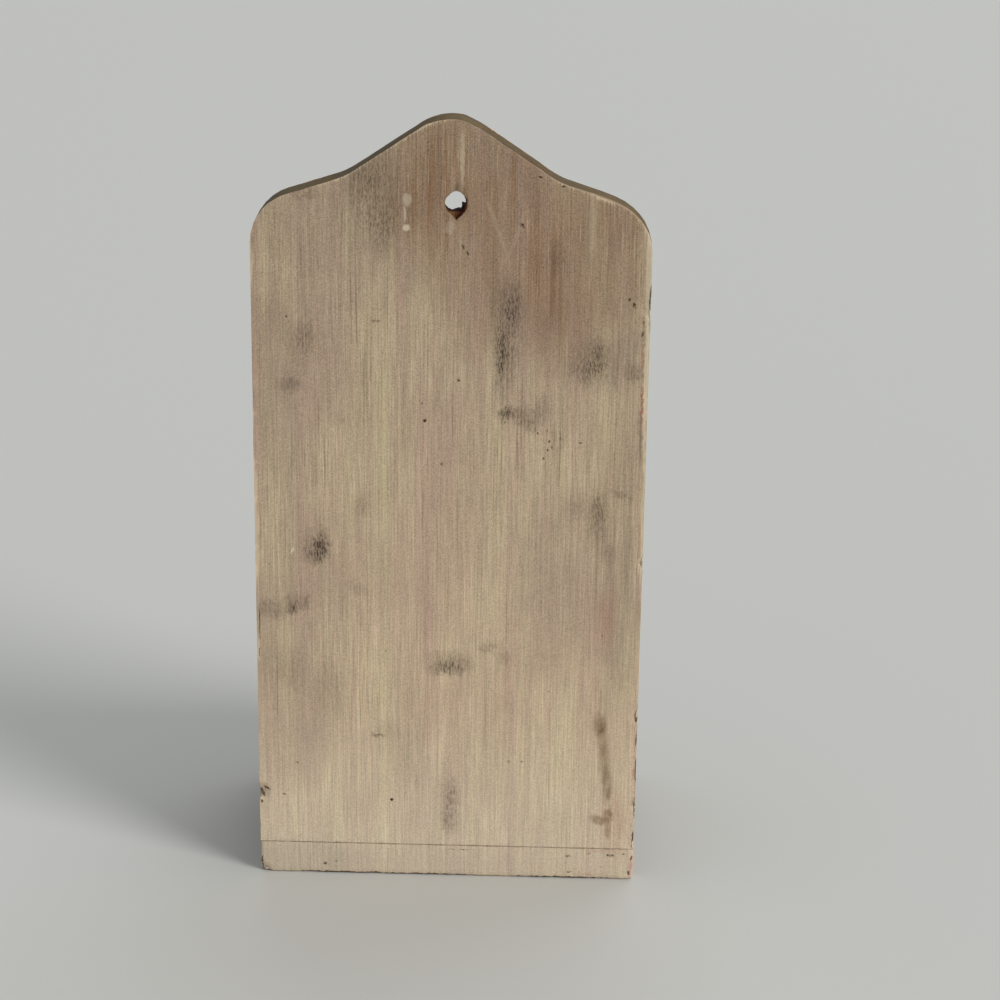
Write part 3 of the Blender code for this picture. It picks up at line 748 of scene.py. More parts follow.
TOP_BROWN = (
    (0, 272, 46, 40, 0, 0.34),
    (4, 256, 18, 46, 0, 0.30),
    (5, 250, 6, 38, 0, 0.14),
    (17, 250, 9, 22, 0, 0.20),
    (-24, 250, 24, 40, 0, 0.46),
    (-50, 238, 30, 46, 0, 0.43),
    (-58, 256, 13, 20, 0, 0.18),
    (-38, 212, 16, 28, 0, 0.28),
    (-10, 222, 16, 30, 0, 0.30),
    (-32, 226, 12, 30, 0, 0.22),
    (-60, 150, 14, 60, 0, 0.14),
)
print(len(CRIMSON), "red,", len(GREY_PLACES), "dull and", len(TOP_BROWN), "brown places")

# %% Thick bands and drops of the wash, the brown drip over it, and a painted highlight on the lit edge
CREAM_BANDS = (
    (30, 165, 16, 62, 0, 0.60),
    (17, 72, 16, 50, 0, 0.16),
    (-24, 128, 14, 46, 0, 0.35),
    (38, 238, 12, 30, 0, 0.35),
    (-40, 45, 22, 50, 0, 0.42),
    (-66, 95, 3, 34, 0, 0.70),
    (-27, 196, 6, 10, 0, 0.30),
)
CREAM_DROPS_AND_EDGE_HIGHLIGHT = (
    (15.2, 257.6, 2.1, 3.0, 0, 0.34),
    (16.0, 252.5, 0.55, 3.6, 0, 0.42),
    (15.6, 247.8, 1.6, 1.5, 0, 0.62),
    (-3.8, 272.3, 0.9, 13, 0, 0.30),
    (-15.5, 249.5, 1.0, 15, -20, 0.10),
    (-22.7, 245.7, 0.9, 12, 20, 0.08),
    (0.4, 248.2, 2.4, 3.0, 20, 0.17),
    # These two long strips on the -X edge, which faces the window, are partly a painted highlight and partly wash
    # that laps round the arris.
    (-68.8, 236, 1.6, 30, 0, 0.42),
    (-68.9, 196, 1.1, 30, 0, 0.45),
    (-48.7, 250, 1.4, 16, 0, 0.16),
    (56.6, 128.6, 0.5, 1.9, 20, 0.7),
    (24.6, 14.9, 1.3, 1.3, 0, 0.35),
)
BROWN_DRIP = (
    (-56.0, 72, 1.2, 8, 0, 0.30),
    (-55.9, 63, 3.6, 6.6, 0, 0.58),
    (-57.0, 57, 3.2, 10, 0, 0.38),
    (-58.2, 48, 3.0, 11, 0, 0.44),
    (-59.2, 39, 3.1, 10, 0, 0.46),
    (-60.0, 35, 1.2, 4, 0, 0.34),
    (-60.4, 29, 0.9, 4, 0, 0.28),
    (-56.2, 24.4, 4.6, 2.6, 20, 0.60),
    (-60.0, 26.0, 2.8, 4.2, 0, 0.56),
    (-60.0, 20.0, 1.6, 4.8, 0, 0.48),
)
print(len(CREAM_BANDS), "bands,", len(CREAM_DROPS_AND_EDGE_HIGHLIGHT), "drops and", len(BROWN_DRIP), "parts of the drip")

# %% [markdown]
# ## Drawing the marks
# An oval's lean is 0 or 20 degrees to either side, so the board's coordinates are turned only twice,
# and each oval then costs four small nodes. They stay in the order in which they are needed, because
# a shader can hold only so many numbers at once.

# %% Drawing the marks
LEAN = 20
HOLE_X = -1.8
HOLE_Z = 257.05


def turned(flat):
    """The coordinates on the back, upright and leaning to either side."""
    places = {0: flat}
    for lean in (LEAN, -LEAN):
        cosine, sine = math.cos(math.radians(lean)), math.sin(math.radians(lean))
        across = flat.vector_math("DOT_PRODUCT", flat, (cosine, 0, sine), output="Value")
        upward = flat.vector_math("DOT_PRODUCT", flat, (-sine, 0, cosine), output="Value")
        places[lean] = flat.add("ShaderNodeCombineXYZ", {}, {"X": across, "Z": upward})
    return places


def marks(places, spots, core=0.25, spread=1.0):
    """The sum of a list of ovals, each full inside its core share and fading to its rim."""
    total = 0.0
    for x, z, half_width, half_height, lean, strength in sorted(spots, key=lambda spot: abs(spot[4])):
        cosine, sine = math.cos(math.radians(lean)), math.sin(math.radians(lean))
        wide, high = half_width * spread, half_height * spread
        across = (x * cosine + z * sine) / wide
        upward = (z * cosine - x * sine) / high
        size = (1 / wide, 0, 1 / high)
        near = places[lean].vector_math("MULTIPLY_ADD", places[lean], size, (-across, 0, -upward))
        away = near.vector_math("LENGTH", near, output="Value")
        total = away.between(1, core, top=strength) + total
    return total


# %% [markdown]
# ## Mixing the wash
# The wash is mixed as a painter works: first the coat itself, thin in some bands of the grain and
# thick in others, and lighter towards the foot, partly from a thicker wash and partly as painted
# bounce light from the floor. Then soot, stains and drops go on it, then the worn edges with a
# painted highlight, the specks, the cracks and a painted contact shadow along the foot. All of them
# are broken up by the same few noises, so that they look like one old surface.

# %% Colours of the wash
WASH_CREAM = srgb(206, 189, 154)
WASH_MAUVE = srgb(193, 166, 145)
WASH_PALE = srgb(226, 214, 188)
WASH_LIP_AND_HIGHLIGHT = srgb(224, 203, 170)
WASH_GREY = srgb(139, 120, 110)
WASH_COOL = srgb(203, 197, 178)
WOOD_BROWN = srgb(161, 127, 99)
FIBRE_BROWN = srgb(126, 101, 77)
SOOT = srgb(79, 66, 55)
SPECK_BROWN = srgb(66, 46, 31)
CHIP_AND_SHADOW_BROWN = srgb(82, 58, 42)
JOINT_BROWN = srgb(104, 80, 58)
STAIN_RED = srgb(166, 92, 80)
STAIN_BROWN = srgb(122, 94, 68)

# %% Noises of the wash
def wash_noises(place, axis):
    """The noises that the wash is made of, with the grain along that axis."""
    return SimpleNamespace(
        sway=place.noise((1.9, 1.9, 1.9), 3.0, 0.6, shift=50.0) - 0.5,
        heave=place.noise((1.9, 1.9, 2.6), 3.0, 0.6, shift=60.0) - 0.5,
        drift=place.noise((10, 10, 13), 2.0, 0.5, shift=70.0) - 0.5,
        bands=place.noise(grain(axis, 260, 9), 2.0, 0.5, shift=4.0) - 0.5,
        tint=place.noise(grain(axis, 90, 2.6), 3.0, 0.6, shift=17.0) - 0.5,
        lines=place.noise(grain(axis, 60, 0.9), 2.0, 0.6, shift=7.0) - 0.5,
        streaks=place.noise(grain(axis, 14, 0.45), 2.0, 0.6, shift=1.5),
        grit=place.noise((0.42, 0.42, 0.42), 1.0, 0.5, shift=11.0) - 0.5,
        clouds=place.noise((24, 24, 36), 3.0, 0.55, shift=2.5) - 0.5,
        strokes=place.noise(grain(axis, 1.9, 0.5), 2.0, 0.6, shift=21.0).between(0.42, 0.66),
        dust=place.noise((1.1, 1.1, 1.1), 2.0, 0.5, shift=31.0).between(0.74, 0.78),
        nibble=place.noise((0.8, 0.8, 1.1), 3.0, 0.75, shift=36.0).between(0.38, 0.56),
        rubbed=place.add("ShaderNodeAttribute", {"attribute_name": "rubbed"}, {}, "Fac"),
    )


def shaken(flat, across, upward):
    """The coordinates on the back, moved by noise, upright and leaning to either side."""
    moved = flat.add("ShaderNodeCombineXYZ", {}, {"X": across, "Z": upward})
    return turned(flat.vector_math("ADD", flat, moved))


# %% The coat and what lies on it
WASH_TOP = 290.0
WASH_FOOT = 80.0
# The coat grows lighter towards the foot: partly painted bounce light from the floor, partly a thicker wash.
BOUNCE_AND_WASH_LIFT = 0.475
WASH_SHADE = 0.69


def wash_coat(flat, ragged, wash):
    """The colour of the coat itself, with its bands, streaks and fibres, and the height in mm."""
    cover = wash.bands * 1.2 + wash.tint * 1.2 + wash.clouds * 0.9
    cover = cover + marks(ragged, CREAM_BANDS) * 0.45 + 0.42
    colour = cover.mix(WASH_MAUVE, WASH_CREAM)
    brown = marks(ragged, TOP_BROWN) * (wash.tint * 2.6 + wash.lines * 1.2 + 1.0)
    colour = brown.mix(colour, WOOD_BROWN)
    # Some places of the coat are darker and greyer.
    greyed = marks(ragged, GREY_PLACES) * (wash.tint * 1.6 + 1.0)
    colour = greyed.mix(colour, WASH_GREY)
    up = flat.vector_math("DOT_PRODUCT", flat, (0, 0, 1), output="Value")
    colour = up.between(WASH_FOOT, 0, top=0.34).mix(colour, WASH_COOL)
    # Lighter towards the foot: painted bounce light from the floor, and a thicker wash there.
    bounce_and_wash_lift = up.between(WASH_TOP, 0, smooth=False, top=BOUNCE_AND_WASH_LIFT)
    fibre = ((wash.streaks - 0.5) * 0.62 + wash.lines * 0.45) * (wash.clouds * 2.6 + 1.05)
    shade = fibre + wash.grit * 0.80 + wash.clouds * 0.25 + bounce_and_wash_lift + WASH_SHADE
    colour = shade.lights(colour)
    colour = wash.streaks.between(0.64, 0.78, top=0.3).mix(colour, WASH_PALE)
    colour = wash.lines.between(-0.14, -0.24, top=0.35).mix(colour, FIBRE_BROWN)
    return colour, up


def soiled(colour, ragged, crisp, strokes):
    """A colour with soot, stains, cream drips and painted highlight strips on it, and a wire that says where the
    cream and the strips lie.
    """
    soot = marks(ragged, SMUDGES, 0.15, 1.25) * (strokes * 0.75 + 0.46)
    colour = soot.mix(colour, SOOT)
    red = marks(ragged, CRIMSON, 0.1) * (strokes * 0.4 + 0.7)
    colour = red.mix(colour, STAIN_RED)
    brown = marks(crisp, BROWN_DRIP, 0.3) * (strokes * 0.3 + 0.8)
    colour = brown.mix(colour, STAIN_BROWN)
    drops_and_highlight = marks(crisp, CREAM_DROPS_AND_EDGE_HIGHLIGHT, 0.5)
    return drops_and_highlight.mix(colour, WASH_PALE), drops_and_highlight


# %% The whole wash
# The pale lip on the arrises, partly worn wash and partly a painted highlight, fades out between these distances
# from the middle of the hole, in mm
LIP_AND_HIGHLIGHT_ENDS = (8, 5)


def cream_wash(place, axis):
    """Colour, roughness and relief of the washed back, with the grain along that axis."""
    wash = wash_noises(place, axis)
    flat = place.vector_math("MULTIPLY", place, (1, 0, 1))
    ragged = shaken(flat, wash.sway * 3.4 + wash.drift * 3.0, wash.heave * 8.0 + wash.drift * 4.0)
    crisp = shaken(flat, wash.sway * 1.3, wash.heave * 1.8)
    colour, up = wash_coat(flat, ragged, wash)
    colour, drops_and_highlight = soiled(colour, ragged, crisp, wash.strokes)
    by_hole = flat.vector_math("DISTANCE", flat, (HOLE_X, 0, HOLE_Z), output="Value")
    by_hole = by_hole.between(*LIP_AND_HIGHLIGHT_ENDS, top=0.6)
    # A pale lip along the rubbed arrises: partly worn wash, partly a painted highlight of the rounded edge.
    lip_and_highlight = wash.rubbed + wash.clouds * 2.2 + (wash.streaks - 0.5) * 1.0 - by_hole
    colour = lip_and_highlight.between(0.78, 1.1, top=0.6).mix(colour, WASH_LIP_AND_HIGHLIGHT)
    specks = marks(crisp, SPECKS, 0.3) * (wash.nibble * 1.1 + 0.25) + wash.dust * 0.5
    colour = specks.mix(colour, SPECK_BROWN)
    seam = up - FLOOR_TOP + wash.sway * 0.5
    seam = seam.math("ABSOLUTE", seam).between(0.40, 0.10, top=0.62)
    colour = (seam * (wash.clouds * 2.0 + wash.tint * 1.5 + 0.8)).mix(colour, JOINT_BROWN)
    # Cracks and chips at the edges, and the painted contact shadow along the foot.
    crack_and_shadow_marks = (marks(crisp, EDGE_CRACKS_AND_FOOT_SHADOW, 0.0) + wash.sway * 1.4).between(0.35, 0.6, top=0.85)
    colour = crack_and_shadow_marks.mix(colour, CHIP_AND_SHADOW_BROWN)
    height = wash.streaks * 0.04 + wash.lines * 0.05 + drops_and_highlight * 0.06 + wash.grit * 0.03
    height = height - crack_and_shadow_marks * 0.2 - seam * 0.1
    return colour, wash.streaks * 0.15 + 0.7, height


# %% [markdown]
# Inside the nail hole the wood is dark and splintered. Its wall is a dark red brown with a few pale
# torn fibres that run up the board. On one side, near the back face, it is paler.

# %% Wall of the nail hole
HOLE_DARK = srgb(40, 24, 18)
HOLE_RED = srgb(112, 62, 42)
HOLE_TORN = srgb(158, 112, 78)
HOLE_PALE = srgb(134, 106, 68)
PALE_DEPTHS = (3.4, 0.8)
PALE_SIDE = (-0.6, 1.6)


def hole_wall(place, axis):
    """Colour, roughness and relief of the wood inside the nail hole."""
    fibre = place.noise(grain(axis, 4, 0.5), 3.0, 0.7, shift=33.0)
    colour = fibre.between(0.40, 0.62).mix(HOLE_DARK, HOLE_RED)
    colour = fibre.between(0.66, 0.74, top=0.7).mix(colour, HOLE_TORN)
    x, y = (place.add("ShaderNodeSeparateXYZ", {}, {0: place}, index) for index in range(2))
    deep, shallow = (REAR - depth for depth in PALE_DEPTHS)
    start, end = (HOLE_X + side for side in PALE_SIDE)
    # A paler patch on one side of the wall, near the back face.
    rubbed = y.between(deep, shallow) * x.between(start, end, top=0.85)
    colour = rubbed.mix(colour, HOLE_PALE)
    return colour, fibre * 0.1 + 0.8, fibre * 0.3


# %% [markdown]
# ## One material for each board
# A board shows up to three finishes: the wash on the back, paint on the outside and bare wood
# inside. A mask is a wire that says where one takes over from the other, made from the place on the
# board and a little noise, so that the brush did not stop in a ruler line. The small numbers in a
# mask are millimetres past a face: the first finish ends at one and the next is full at the other.

# %% Laying one finish over another
def layered(name, axis, masks):
    """A material that starts as olive paint and goes over to other finishes where masks say."""
    material, place = begin(name)
    colour, roughness, height = olive_paint(place, axis)
    x, y, z = (place.add("ShaderNodeSeparateXYZ", {}, {0: place}, index) for index in range(3))
    wobble = (place.noise((4, 4, 4), 3.0, 0.6, shift=40.0) - 0.5) * 3.0
    for finish, mask in masks:
        share = mask(x, y, z, wobble)
        other_colour, other_roughness, other_height = finish(place, axis)
        colour = share.mix(colour, other_colour)
        roughness = roughness + share * (other_roughness - roughness)
        height = height + share * (other_height - height)
    return close(material, colour, roughness, height, specular=0.12)


# %% Masks
LAP = 0.9
SHOULDER_LAP = 2.4
SHOULDER_LAP_SPAN = (-20, -60)
BACK_EDGE = 0.35
HOLE_SURROUND = 8.0


def on_the_back(x, y, z, wobble):
    """The rear face and a lap over its arris, wider where the shoulder was sawn lower."""
    lap = x.between(*SHOULDER_LAP_SPAN, top=SHOULDER_LAP) + LAP
    return (y + wobble * 0.35 + lap).between(REAR - BACK_EDGE, REAR + BACK_EDGE)


def between_the_sides(x, wobble):
    """Between the two side boards, and a little way into them."""
    return (x.math("ABSOLUTE", x) + wobble * 0.3).between(HALF_INSIDE + 1.6, HALF_INSIDE + 0.8)


def behind_the_box(x, y, z, wobble):
    """The part of the back board's front face that closes the box."""
    below_rim = (z + wobble).between(RIM_REAR + 1.5, RIM_REAR + 0.5)
    return below_rim * y.between(BACK_FRONT + 1.2, BACK_FRONT + 0.8) * between_the_sides(x, wobble)


def in_the_hole(x, y, z, wobble):
    """The wall of the nail hole, below both faces of the back board."""
    square = (x - HOLE_X) * (x - HOLE_X) + (z - HOLE_Z) * (z - HOLE_Z)
    away = square.math("SQRT", square)
    under_the_surface = (y + wobble * 0.1).between(REAR - 0.05, REAR - 0.35)
    behind_the_front = y.between(BACK_FRONT + 0.1, BACK_FRONT + 0.5)
    return away.between(HOLE_SURROUND, HOLE_SURROUND - 0.5) * under_the_surface * behind_the_front


def inside_of_side(x, y, z, wobble):
    """The inner face of a side board."""
    return (x.math("ABSOLUTE", x) + wobble * 0.5).between(HALF_INSIDE + 2.2, HALF_INSIDE + 1.6)


def inside_of_front(x, y, z, wobble):
    """The inner face of the front board, between the sides."""
    behind = (y + wobble * 0.5).between(FRONT_REAR - 2.2, FRONT_REAR - 1.6)
    return behind * between_the_sides(x, wobble)


def inside_of_bottom(x, y, z, wobble):
    """The floor of the box."""
    across = (x.math("ABSOLUTE", x) + wobble * 0.6).between(HALF_INSIDE + 0.6, HALF_INSIDE - 0.2)
    behind_front = (y + wobble * 0.5).between(FRONT_REAR - 0.6, FRONT_REAR)
    return across * behind_front * z.between(FLOOR_TOP - 1.5, FLOOR_TOP - 1)


def underneath(x, y, z, wobble):
    """The underside of the bottom board."""
    return (z + wobble * 0.4).between(1.3, 0.7)


# %% Finishes of the five boards
def washed_downward(place, axis):
    """The wash on the bottom board, brushed on down from the back board and across the grain."""
    return cream_wash(place, 2)


back_finish = layered(
    "washed_and_painted_back", 2,
    [(bare_pine, behind_the_box), (cream_wash, on_the_back), (hole_wall, in_the_hole)],
)
bottom_finish = layered(
    "bottom_board_finish", 0,
    [(bare_pine, inside_of_bottom), (bare_pine, underneath), (washed_downward, on_the_back)],
)
side_finish = layered("side_board_finish", 1, [(bare_pine, inside_of_side)])
front_finish = layered("front_board_finish", 0, [(bare_pine, inside_of_front)])

# %% [markdown]
# ## The nail hole
# The round hole has a squared top, as a square cut nail leaves it, and below it the torn wood is
# splayed near the back face. At the front the hole is flared on one side and splintered on the
# other. No operator tears wood, so the faces round the hole are subdivided, and each vertex is
# moved by a rule: where round the hole it lies, how deep, and what a noise says.

# %% Nail hole
HOLE_RADIUS = 3.9
HOLE_REACH = 6.9
HOLE_DETAIL_RADIUS = 11
HOLE_DETAIL_CUTS = 3
HOLE_SKIN_SHARE = 0.03
HOLE_FLARE = 1.7
FLARE_SIDE = Vector((0.62, 0, -0.78))
HOLE_SPLINTER = 1.5
SPLINTER_SIDE = Vector((-0.75, 0, -0.66))
SPLINTER_GRAIN = 1.1
SPLINTER_STRETCH = 0.2
SPLINTER_LEAST = 0.35
TEAR_SPLAY = 2.0
TEAR_MIDDLE = -3.9
TEAR_REACH = 3.4
TEAR_MARGIN = 1.5
TEAR_SOFTNESS = 0.4
TEAR_DEPTH_SHARE = 0.42
HOLE_FACET = 0.42
FACET_FADE = 2.4
TINY = 0.001


def splay_tear(point):
    """Spreads the torn wood below the hole sideways near the back face, to a blunt end."""
    across, up = point.x - HOLE_X, point.z - HOLE_Z
    low = max(0.0, 1 - abs(up - TEAR_MIDDLE) / TEAR_REACH)
    near = max(0.0, 1 - abs(across) / (TEAR_REACH + TEAR_MARGIN))
    shallow = max(0.0, 1 - (REAR - point.y) / (REAR - BACK_FRONT) / TEAR_DEPTH_SHARE)
    return TEAR_SPLAY * math.tanh(across / TEAR_SOFTNESS) * low * near * shallow


def square_up(point):
    """Flattens the top of the hole towards a blunt point, as a square cut nail leaves it."""
    across, up = point.x - HOLE_X, point.z - HOLE_Z
    if up < 0:
        return Vector()
    outward = Vector((across, 0, up))
    fade = max(0.0, 1 - abs(outward.length - HOLE_RADIUS) / FACET_FADE)
    diagonal = 2 * abs(across) * up / max(outward.length_squared, TINY)
    return outward.normalized() * -HOLE_FACET * diagonal ** 2 * fade


def splinter(point, outward, depth):
    """How far the wall moves outward: flared to one side, and with splinters on the other."""
    flared = max(0.0, outward.dot(FLARE_SIDE))
    torn = max(0.0, outward.dot(SPLINTER_SIDE))
    ragged = noise.noise(Vector((point.x, point.y * SPLINTER_STRETCH, 0)) / SPLINTER_GRAIN)
    return HOLE_FLARE * depth * flared - HOLE_SPLINTER * torn * max(0.0, SPLINTER_LEAST + ragged)


def fray_hole(piece):
    """Tears the mouth of the nail hole, flares its far end and leaves splinters in it."""
    ends = [(HOLE_X * MM, y * MM, HOLE_Z * MM) for y in (REAR, BACK_FRONT)]
    refine(piece, [(end, HOLE_DETAIL_RADIUS * MM) for end in ends], HOLE_DETAIL_CUTS)
    axis_point = Vector((HOLE_X, 0, HOLE_Z))
    count = 0
    for vertex in piece.data.vertices:
        point = vertex.co / MM
        away = Vector((point.x, 0, point.z)) - axis_point
        depth = (REAR - point.y) / (REAR - BACK_FRONT)
        vertex.co.x += splay_tear(point) * MM
        vertex.co += square_up(point) * MM
        if away.length <= HOLE_REACH and depth >= HOLE_SKIN_SHARE:
            outward = away.normalized()
            vertex.co += outward * splinter(point, outward, depth) * MM
            count += 1
    print("nail hole:", count, "vertices frayed")


# %% [markdown]
# ## The low shoulder and the closed joint
# The crest was sawn by hand, and one shoulder came out up to two millimetres lower. The outline
# there is lowered with a soft start and end, and what lies deeper in the board follows less and
# less, so that no step shows. Then the joint: the engineering boards keep a small gap to each
# other, and glued boards don't, so the foot of the back board is let down onto the bottom board.

# %% Low shoulder and closed joint
SHOULDER_DROPS = ((3, 8, 0.6), (30, 40, 0.35), (50, 66, 1.0))
SHOULDER_FADE = 12.0
OUTLINE_FACING = 0.25
JOINT_CLOSED = 0.22
JOINT_REACH = 1.0


def ease(start, end, value):
    """0 at start and 1 at end, with a soft rise between."""
    share = min(1.0, max(0.0, (value - start) / (end - start)))
    return share * share * (3 - 2 * share)


def lower_shoulder(piece):
    """Brings the outline down towards -X, where the board was sawn a little lower."""
    hole = Vector((HOLE_X, 0, HOLE_Z)) * MM
    flat = [Vector((vertex.co.x, 0, vertex.co.z)) for vertex in piece.data.vertices]
    outline = [
        place for place, vertex in zip(flat, piece.data.vertices)
        if vertex.normal.z > OUTLINE_FACING and (place - hole).length > SHOULDER_FADE * MM
    ]
    tree = tree_of(outline)
    for place, vertex in zip(flat, piece.data.vertices):
        x = -vertex.co.x / MM
        near = ease(SHOULDER_FADE, 0, tree.find(place)[2] / MM)
        vertex.co.z -= near * MM * sum(drop * ease(start, end, x) for start, end, drop in SHOULDER_DROPS)
    print("shoulder lowered under", len(outline), "outline vertices")


def close_joint(piece):
    """Lets the foot of the back board down onto the bottom board, as glue holds it."""
    for vertex in piece.data.vertices:
        if vertex.co.z < (FLOOR_TOP + JOINT_REACH) * MM:
            vertex.co.z -= JOINT_CLOSED * MM


# %% [markdown]
# ## The boards
# Five boards are copied, sliced and worn, and each then stands for the engineering board of the
# same name. The back board is cut finest, because its outline is what the photograph shows: a chip
# on the left edge low down, a notch on the right edge, and small nicks near the top of that edge.
# The bottom board has lost its left rear corner.

# %% Making a worn board
BOARD_SPACING = 2.2
BOARD_WEAR = (0.04, 0.34)
CHIP_DETAIL_SHARE = 1.3
CHIP_DETAIL_CUTS = 2


def stand_in(piece, node, finish):
    """Gives a new piece its finish and its body, and hides the engineering node that it stands for."""
    if not piece.data.materials:
        piece.data.materials.append(finish)
    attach(piece, BODY_OF[node])
    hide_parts(node)


def make_board(
    node, finish, spacing=BOARD_SPACING, chips=(), shaping=(), tilt=None, wear=BOARD_WEAR
):
    """A worn board that stands for the engineering one. Its numbers are in mm."""
    piece = fresh_copy(node, "worn_" + node)
    slice_board(piece, spacing * MM, tilt)
    metric_chips = [(Vector(place) * MM, radius * MM, depth * MM) for place, radius, depth in chips]
    if chips:
        near_chips = [(place, radius * CHIP_DETAIL_SHARE) for place, radius, depth in metric_chips]
        refine(piece, near_chips, CHIP_DETAIL_CUTS)
    for shape_it in shaping:
        shape_it(piece)
    wear_board(piece, node, wear[0] * MM, wear[1] * MM, metric_chips)
    stand_in(piece, node, finish)


# %% Back board and bottom board, with chips as ((x, y, z), radius, depth) in mm
BACK_SPACING = 2.0
BACK_CHIPS = (
    ((HALF_WIDTH, REAR, 33.0), 4.2, 1.1),
    ((-HALF_WIDTH, REAR, 66.5), 3.2, 0.9),
    ((-HALF_WIDTH, REAR, 221.0), 5.0, 0.6),
    ((-HALF_WIDTH, REAR, 126.5), 2.4, 0.7),
    ((-HALF_WIDTH, REAR, 16.0), 5.0, 0.7),
)
BOTTOM_CHIPS = (
    ((HALF_WIDTH, REAR, 0.0), 4.4, 1.1),
    ((-HALF_WIDTH, REAR, 1.0), 3.5, 0.4),
    ((20.0, -REAR, FLOOR_TOP), 4.0, 0.8),
)

make_board(
    "back_board", back_finish, spacing=BACK_SPACING, chips=BACK_CHIPS,
    shaping=(fray_hole, lower_shoulder, close_joint),
)
make_board("bottom_board", bottom_finish, chips=BOTTOM_CHIPS)

# %% Box walls
for wall, finish in (
    ("left_side", side_finish), ("right_side", side_finish), ("front_board", front_finish),
):
    make_board(wall, finish)

# %% [markdown]
# ## The lid
# The lid slopes forward and its front edge is rounded like a nosing. Fingers lift it there, so that
# edge is worn most. It is sliced along its own axes, which are turned with its slope. Its underside
# was left bare, and the mask for that measures height square to the slope.

# %% Lid
LID_SLOPE = math.radians(15)
LID_TILT = Matrix.Rotation(LID_SLOPE, 3, "X")
PIN_PLACE = Vector(frame["joints"][0]["pos_m"])
LID_WEAR = (0.06, 0.5)


def square_to_lid(point):
    """Height above the hinge pin, square to the slope of the lid, in mm."""
    return (point - PIN_PLACE).dot(LID_TILT.col[2]) / MM


LID_LOW = min(square_to_lid(vertex.co) for vertex in NODES["lid"].data.vertices)


def under_the_lid(x, y, z, wobble):
    """The underside of the sloping lid."""
    cosine, sine = math.cos(LID_SLOPE), math.sin(LID_SLOPE)
    above_pin = (z - PIN_PLACE.z / MM) * cosine - (y - PIN_PLACE.y / MM) * sine
    return (above_pin + wobble * 0.2).between(LID_LOW + 0.8, LID_LOW + 0.4)


lid_finish = layered("lid_finish", 0, [(bare_pine, under_the_lid)])
make_board("lid", lid_finish, tilt=LID_TILT, wear=LID_WEAR)

# %% [markdown]
# ## Turning on the lathe
# The knob, screws, nails and hinge pins are all round. As on a lathe, a disc is drawn out ring by
# ring: each extrusion moves its face along the axis, and a resize gives it the next radius of the
# profile, down to a tiny flat at the pole. Edges sharper than `angle`, in degrees, stay sharp when
# the piece is shaded. `seat_of` reads from the engineering model where the head of a fastener lies
# and which way it looks, and `place_at` turns a finished copy that way and applies the move.

# %% Lathe work
POLE = 0.02


def turn(name, profile, sides, angle=35):
    """A solid drawn out ring by ring along a profile of (radius, height), in mm."""
    radius, height = profile[0]
    bpy.ops.object.select_all(action="DESELECT")
    bpy.ops.mesh.primitive_circle_add(
        vertices=sides, radius=radius * MM, fill_type="NGON", location=(0, 0, height * MM)
    )
    piece = bpy.context.active_object
    piece.name = name
    bpy.ops.object.transform_apply(location=True)
    with editing(piece):
        for next_radius, next_height in profile[1:]:
            step = (0, 0, (next_height - height) * MM)
            bpy.ops.mesh.extrude_region_move(TRANSFORM_OT_translate={"value": step})
            scale = next_radius / radius
            bpy.ops.transform.resize(value=(scale, scale, 1))
            radius, height = next_radius, next_height
        bpy.ops.mesh.select_all(action="SELECT")
        bpy.ops.mesh.normals_make_consistent(inside=False)
    bpy.ops.object.shade_smooth_by_angle(angle=math.radians(angle))
    return piece


# %% Placing and cutting
def seat_of(node, facing):
    """The middle of a round node's end that looks along facing, its radius and its length."""
    turn_back = Vector(facing).to_track_quat("Z", "Y").to_matrix()
    points = [turn_back.transposed() @ vertex.co for vertex in NODES[node].data.vertices]
    low = Vector(min(point[axis] for point in points) for axis in range(3))
    high = Vector(max(point[axis] for point in points) for axis in range(3))
    end = Vector(((low.x + high.x) / 2, (low.y + high.y) / 2, high.z))
    return turn_back @ end, (high.x - low.x) / 2, high.z - low.z


def place_at(piece, place, facing, spin=0.0):
    """Turns a piece so that its top looks along facing, moves it there and applies both."""
    aimed = Vector(facing).to_track_quat("Z", "Y").to_matrix().to_4x4()
    spun = Matrix.Rotation(math.radians(spin), 4, "Z")
    piece.matrix_world = Matrix.Translation(place) @ aimed @ spun
    only(piece)
    bpy.ops.object.transform_apply(location=True, rotation=True, scale=True)


def copy_of(master, name):
    """A copy with its own mesh."""
    piece = bpy.data.objects.new(name, master.data.copy())
    bpy.context.scene.collection.objects.link(piece)
    return piece


def cut_out(piece, cutter):
    """Takes the shape of one solid out of another, and deletes the cutter."""
    apply_modifier(piece, "BOOLEAN", operation="DIFFERENCE", solver="EXACT", object=cutter)
    bpy.data.objects.remove(cutter)


# %% [markdown]
# ## Aged brass and rusty steel
# Old brass goes brown where it is left alone and stays yellow where it is touched. The nails have
# rusted to a rough dark brown. Both are one noise for colour, a finer one for pits, and a roughness
# that follows them.

# %% Metal finishes
BRASS_BRIGHT = srgb(190, 152, 84)
BRASS_BROWN = srgb(104, 78, 46)
VERDIGRIS = srgb(84, 104, 84)
STEEL_DARK = srgb(60, 54, 50)
RUST = srgb(108, 62, 38)


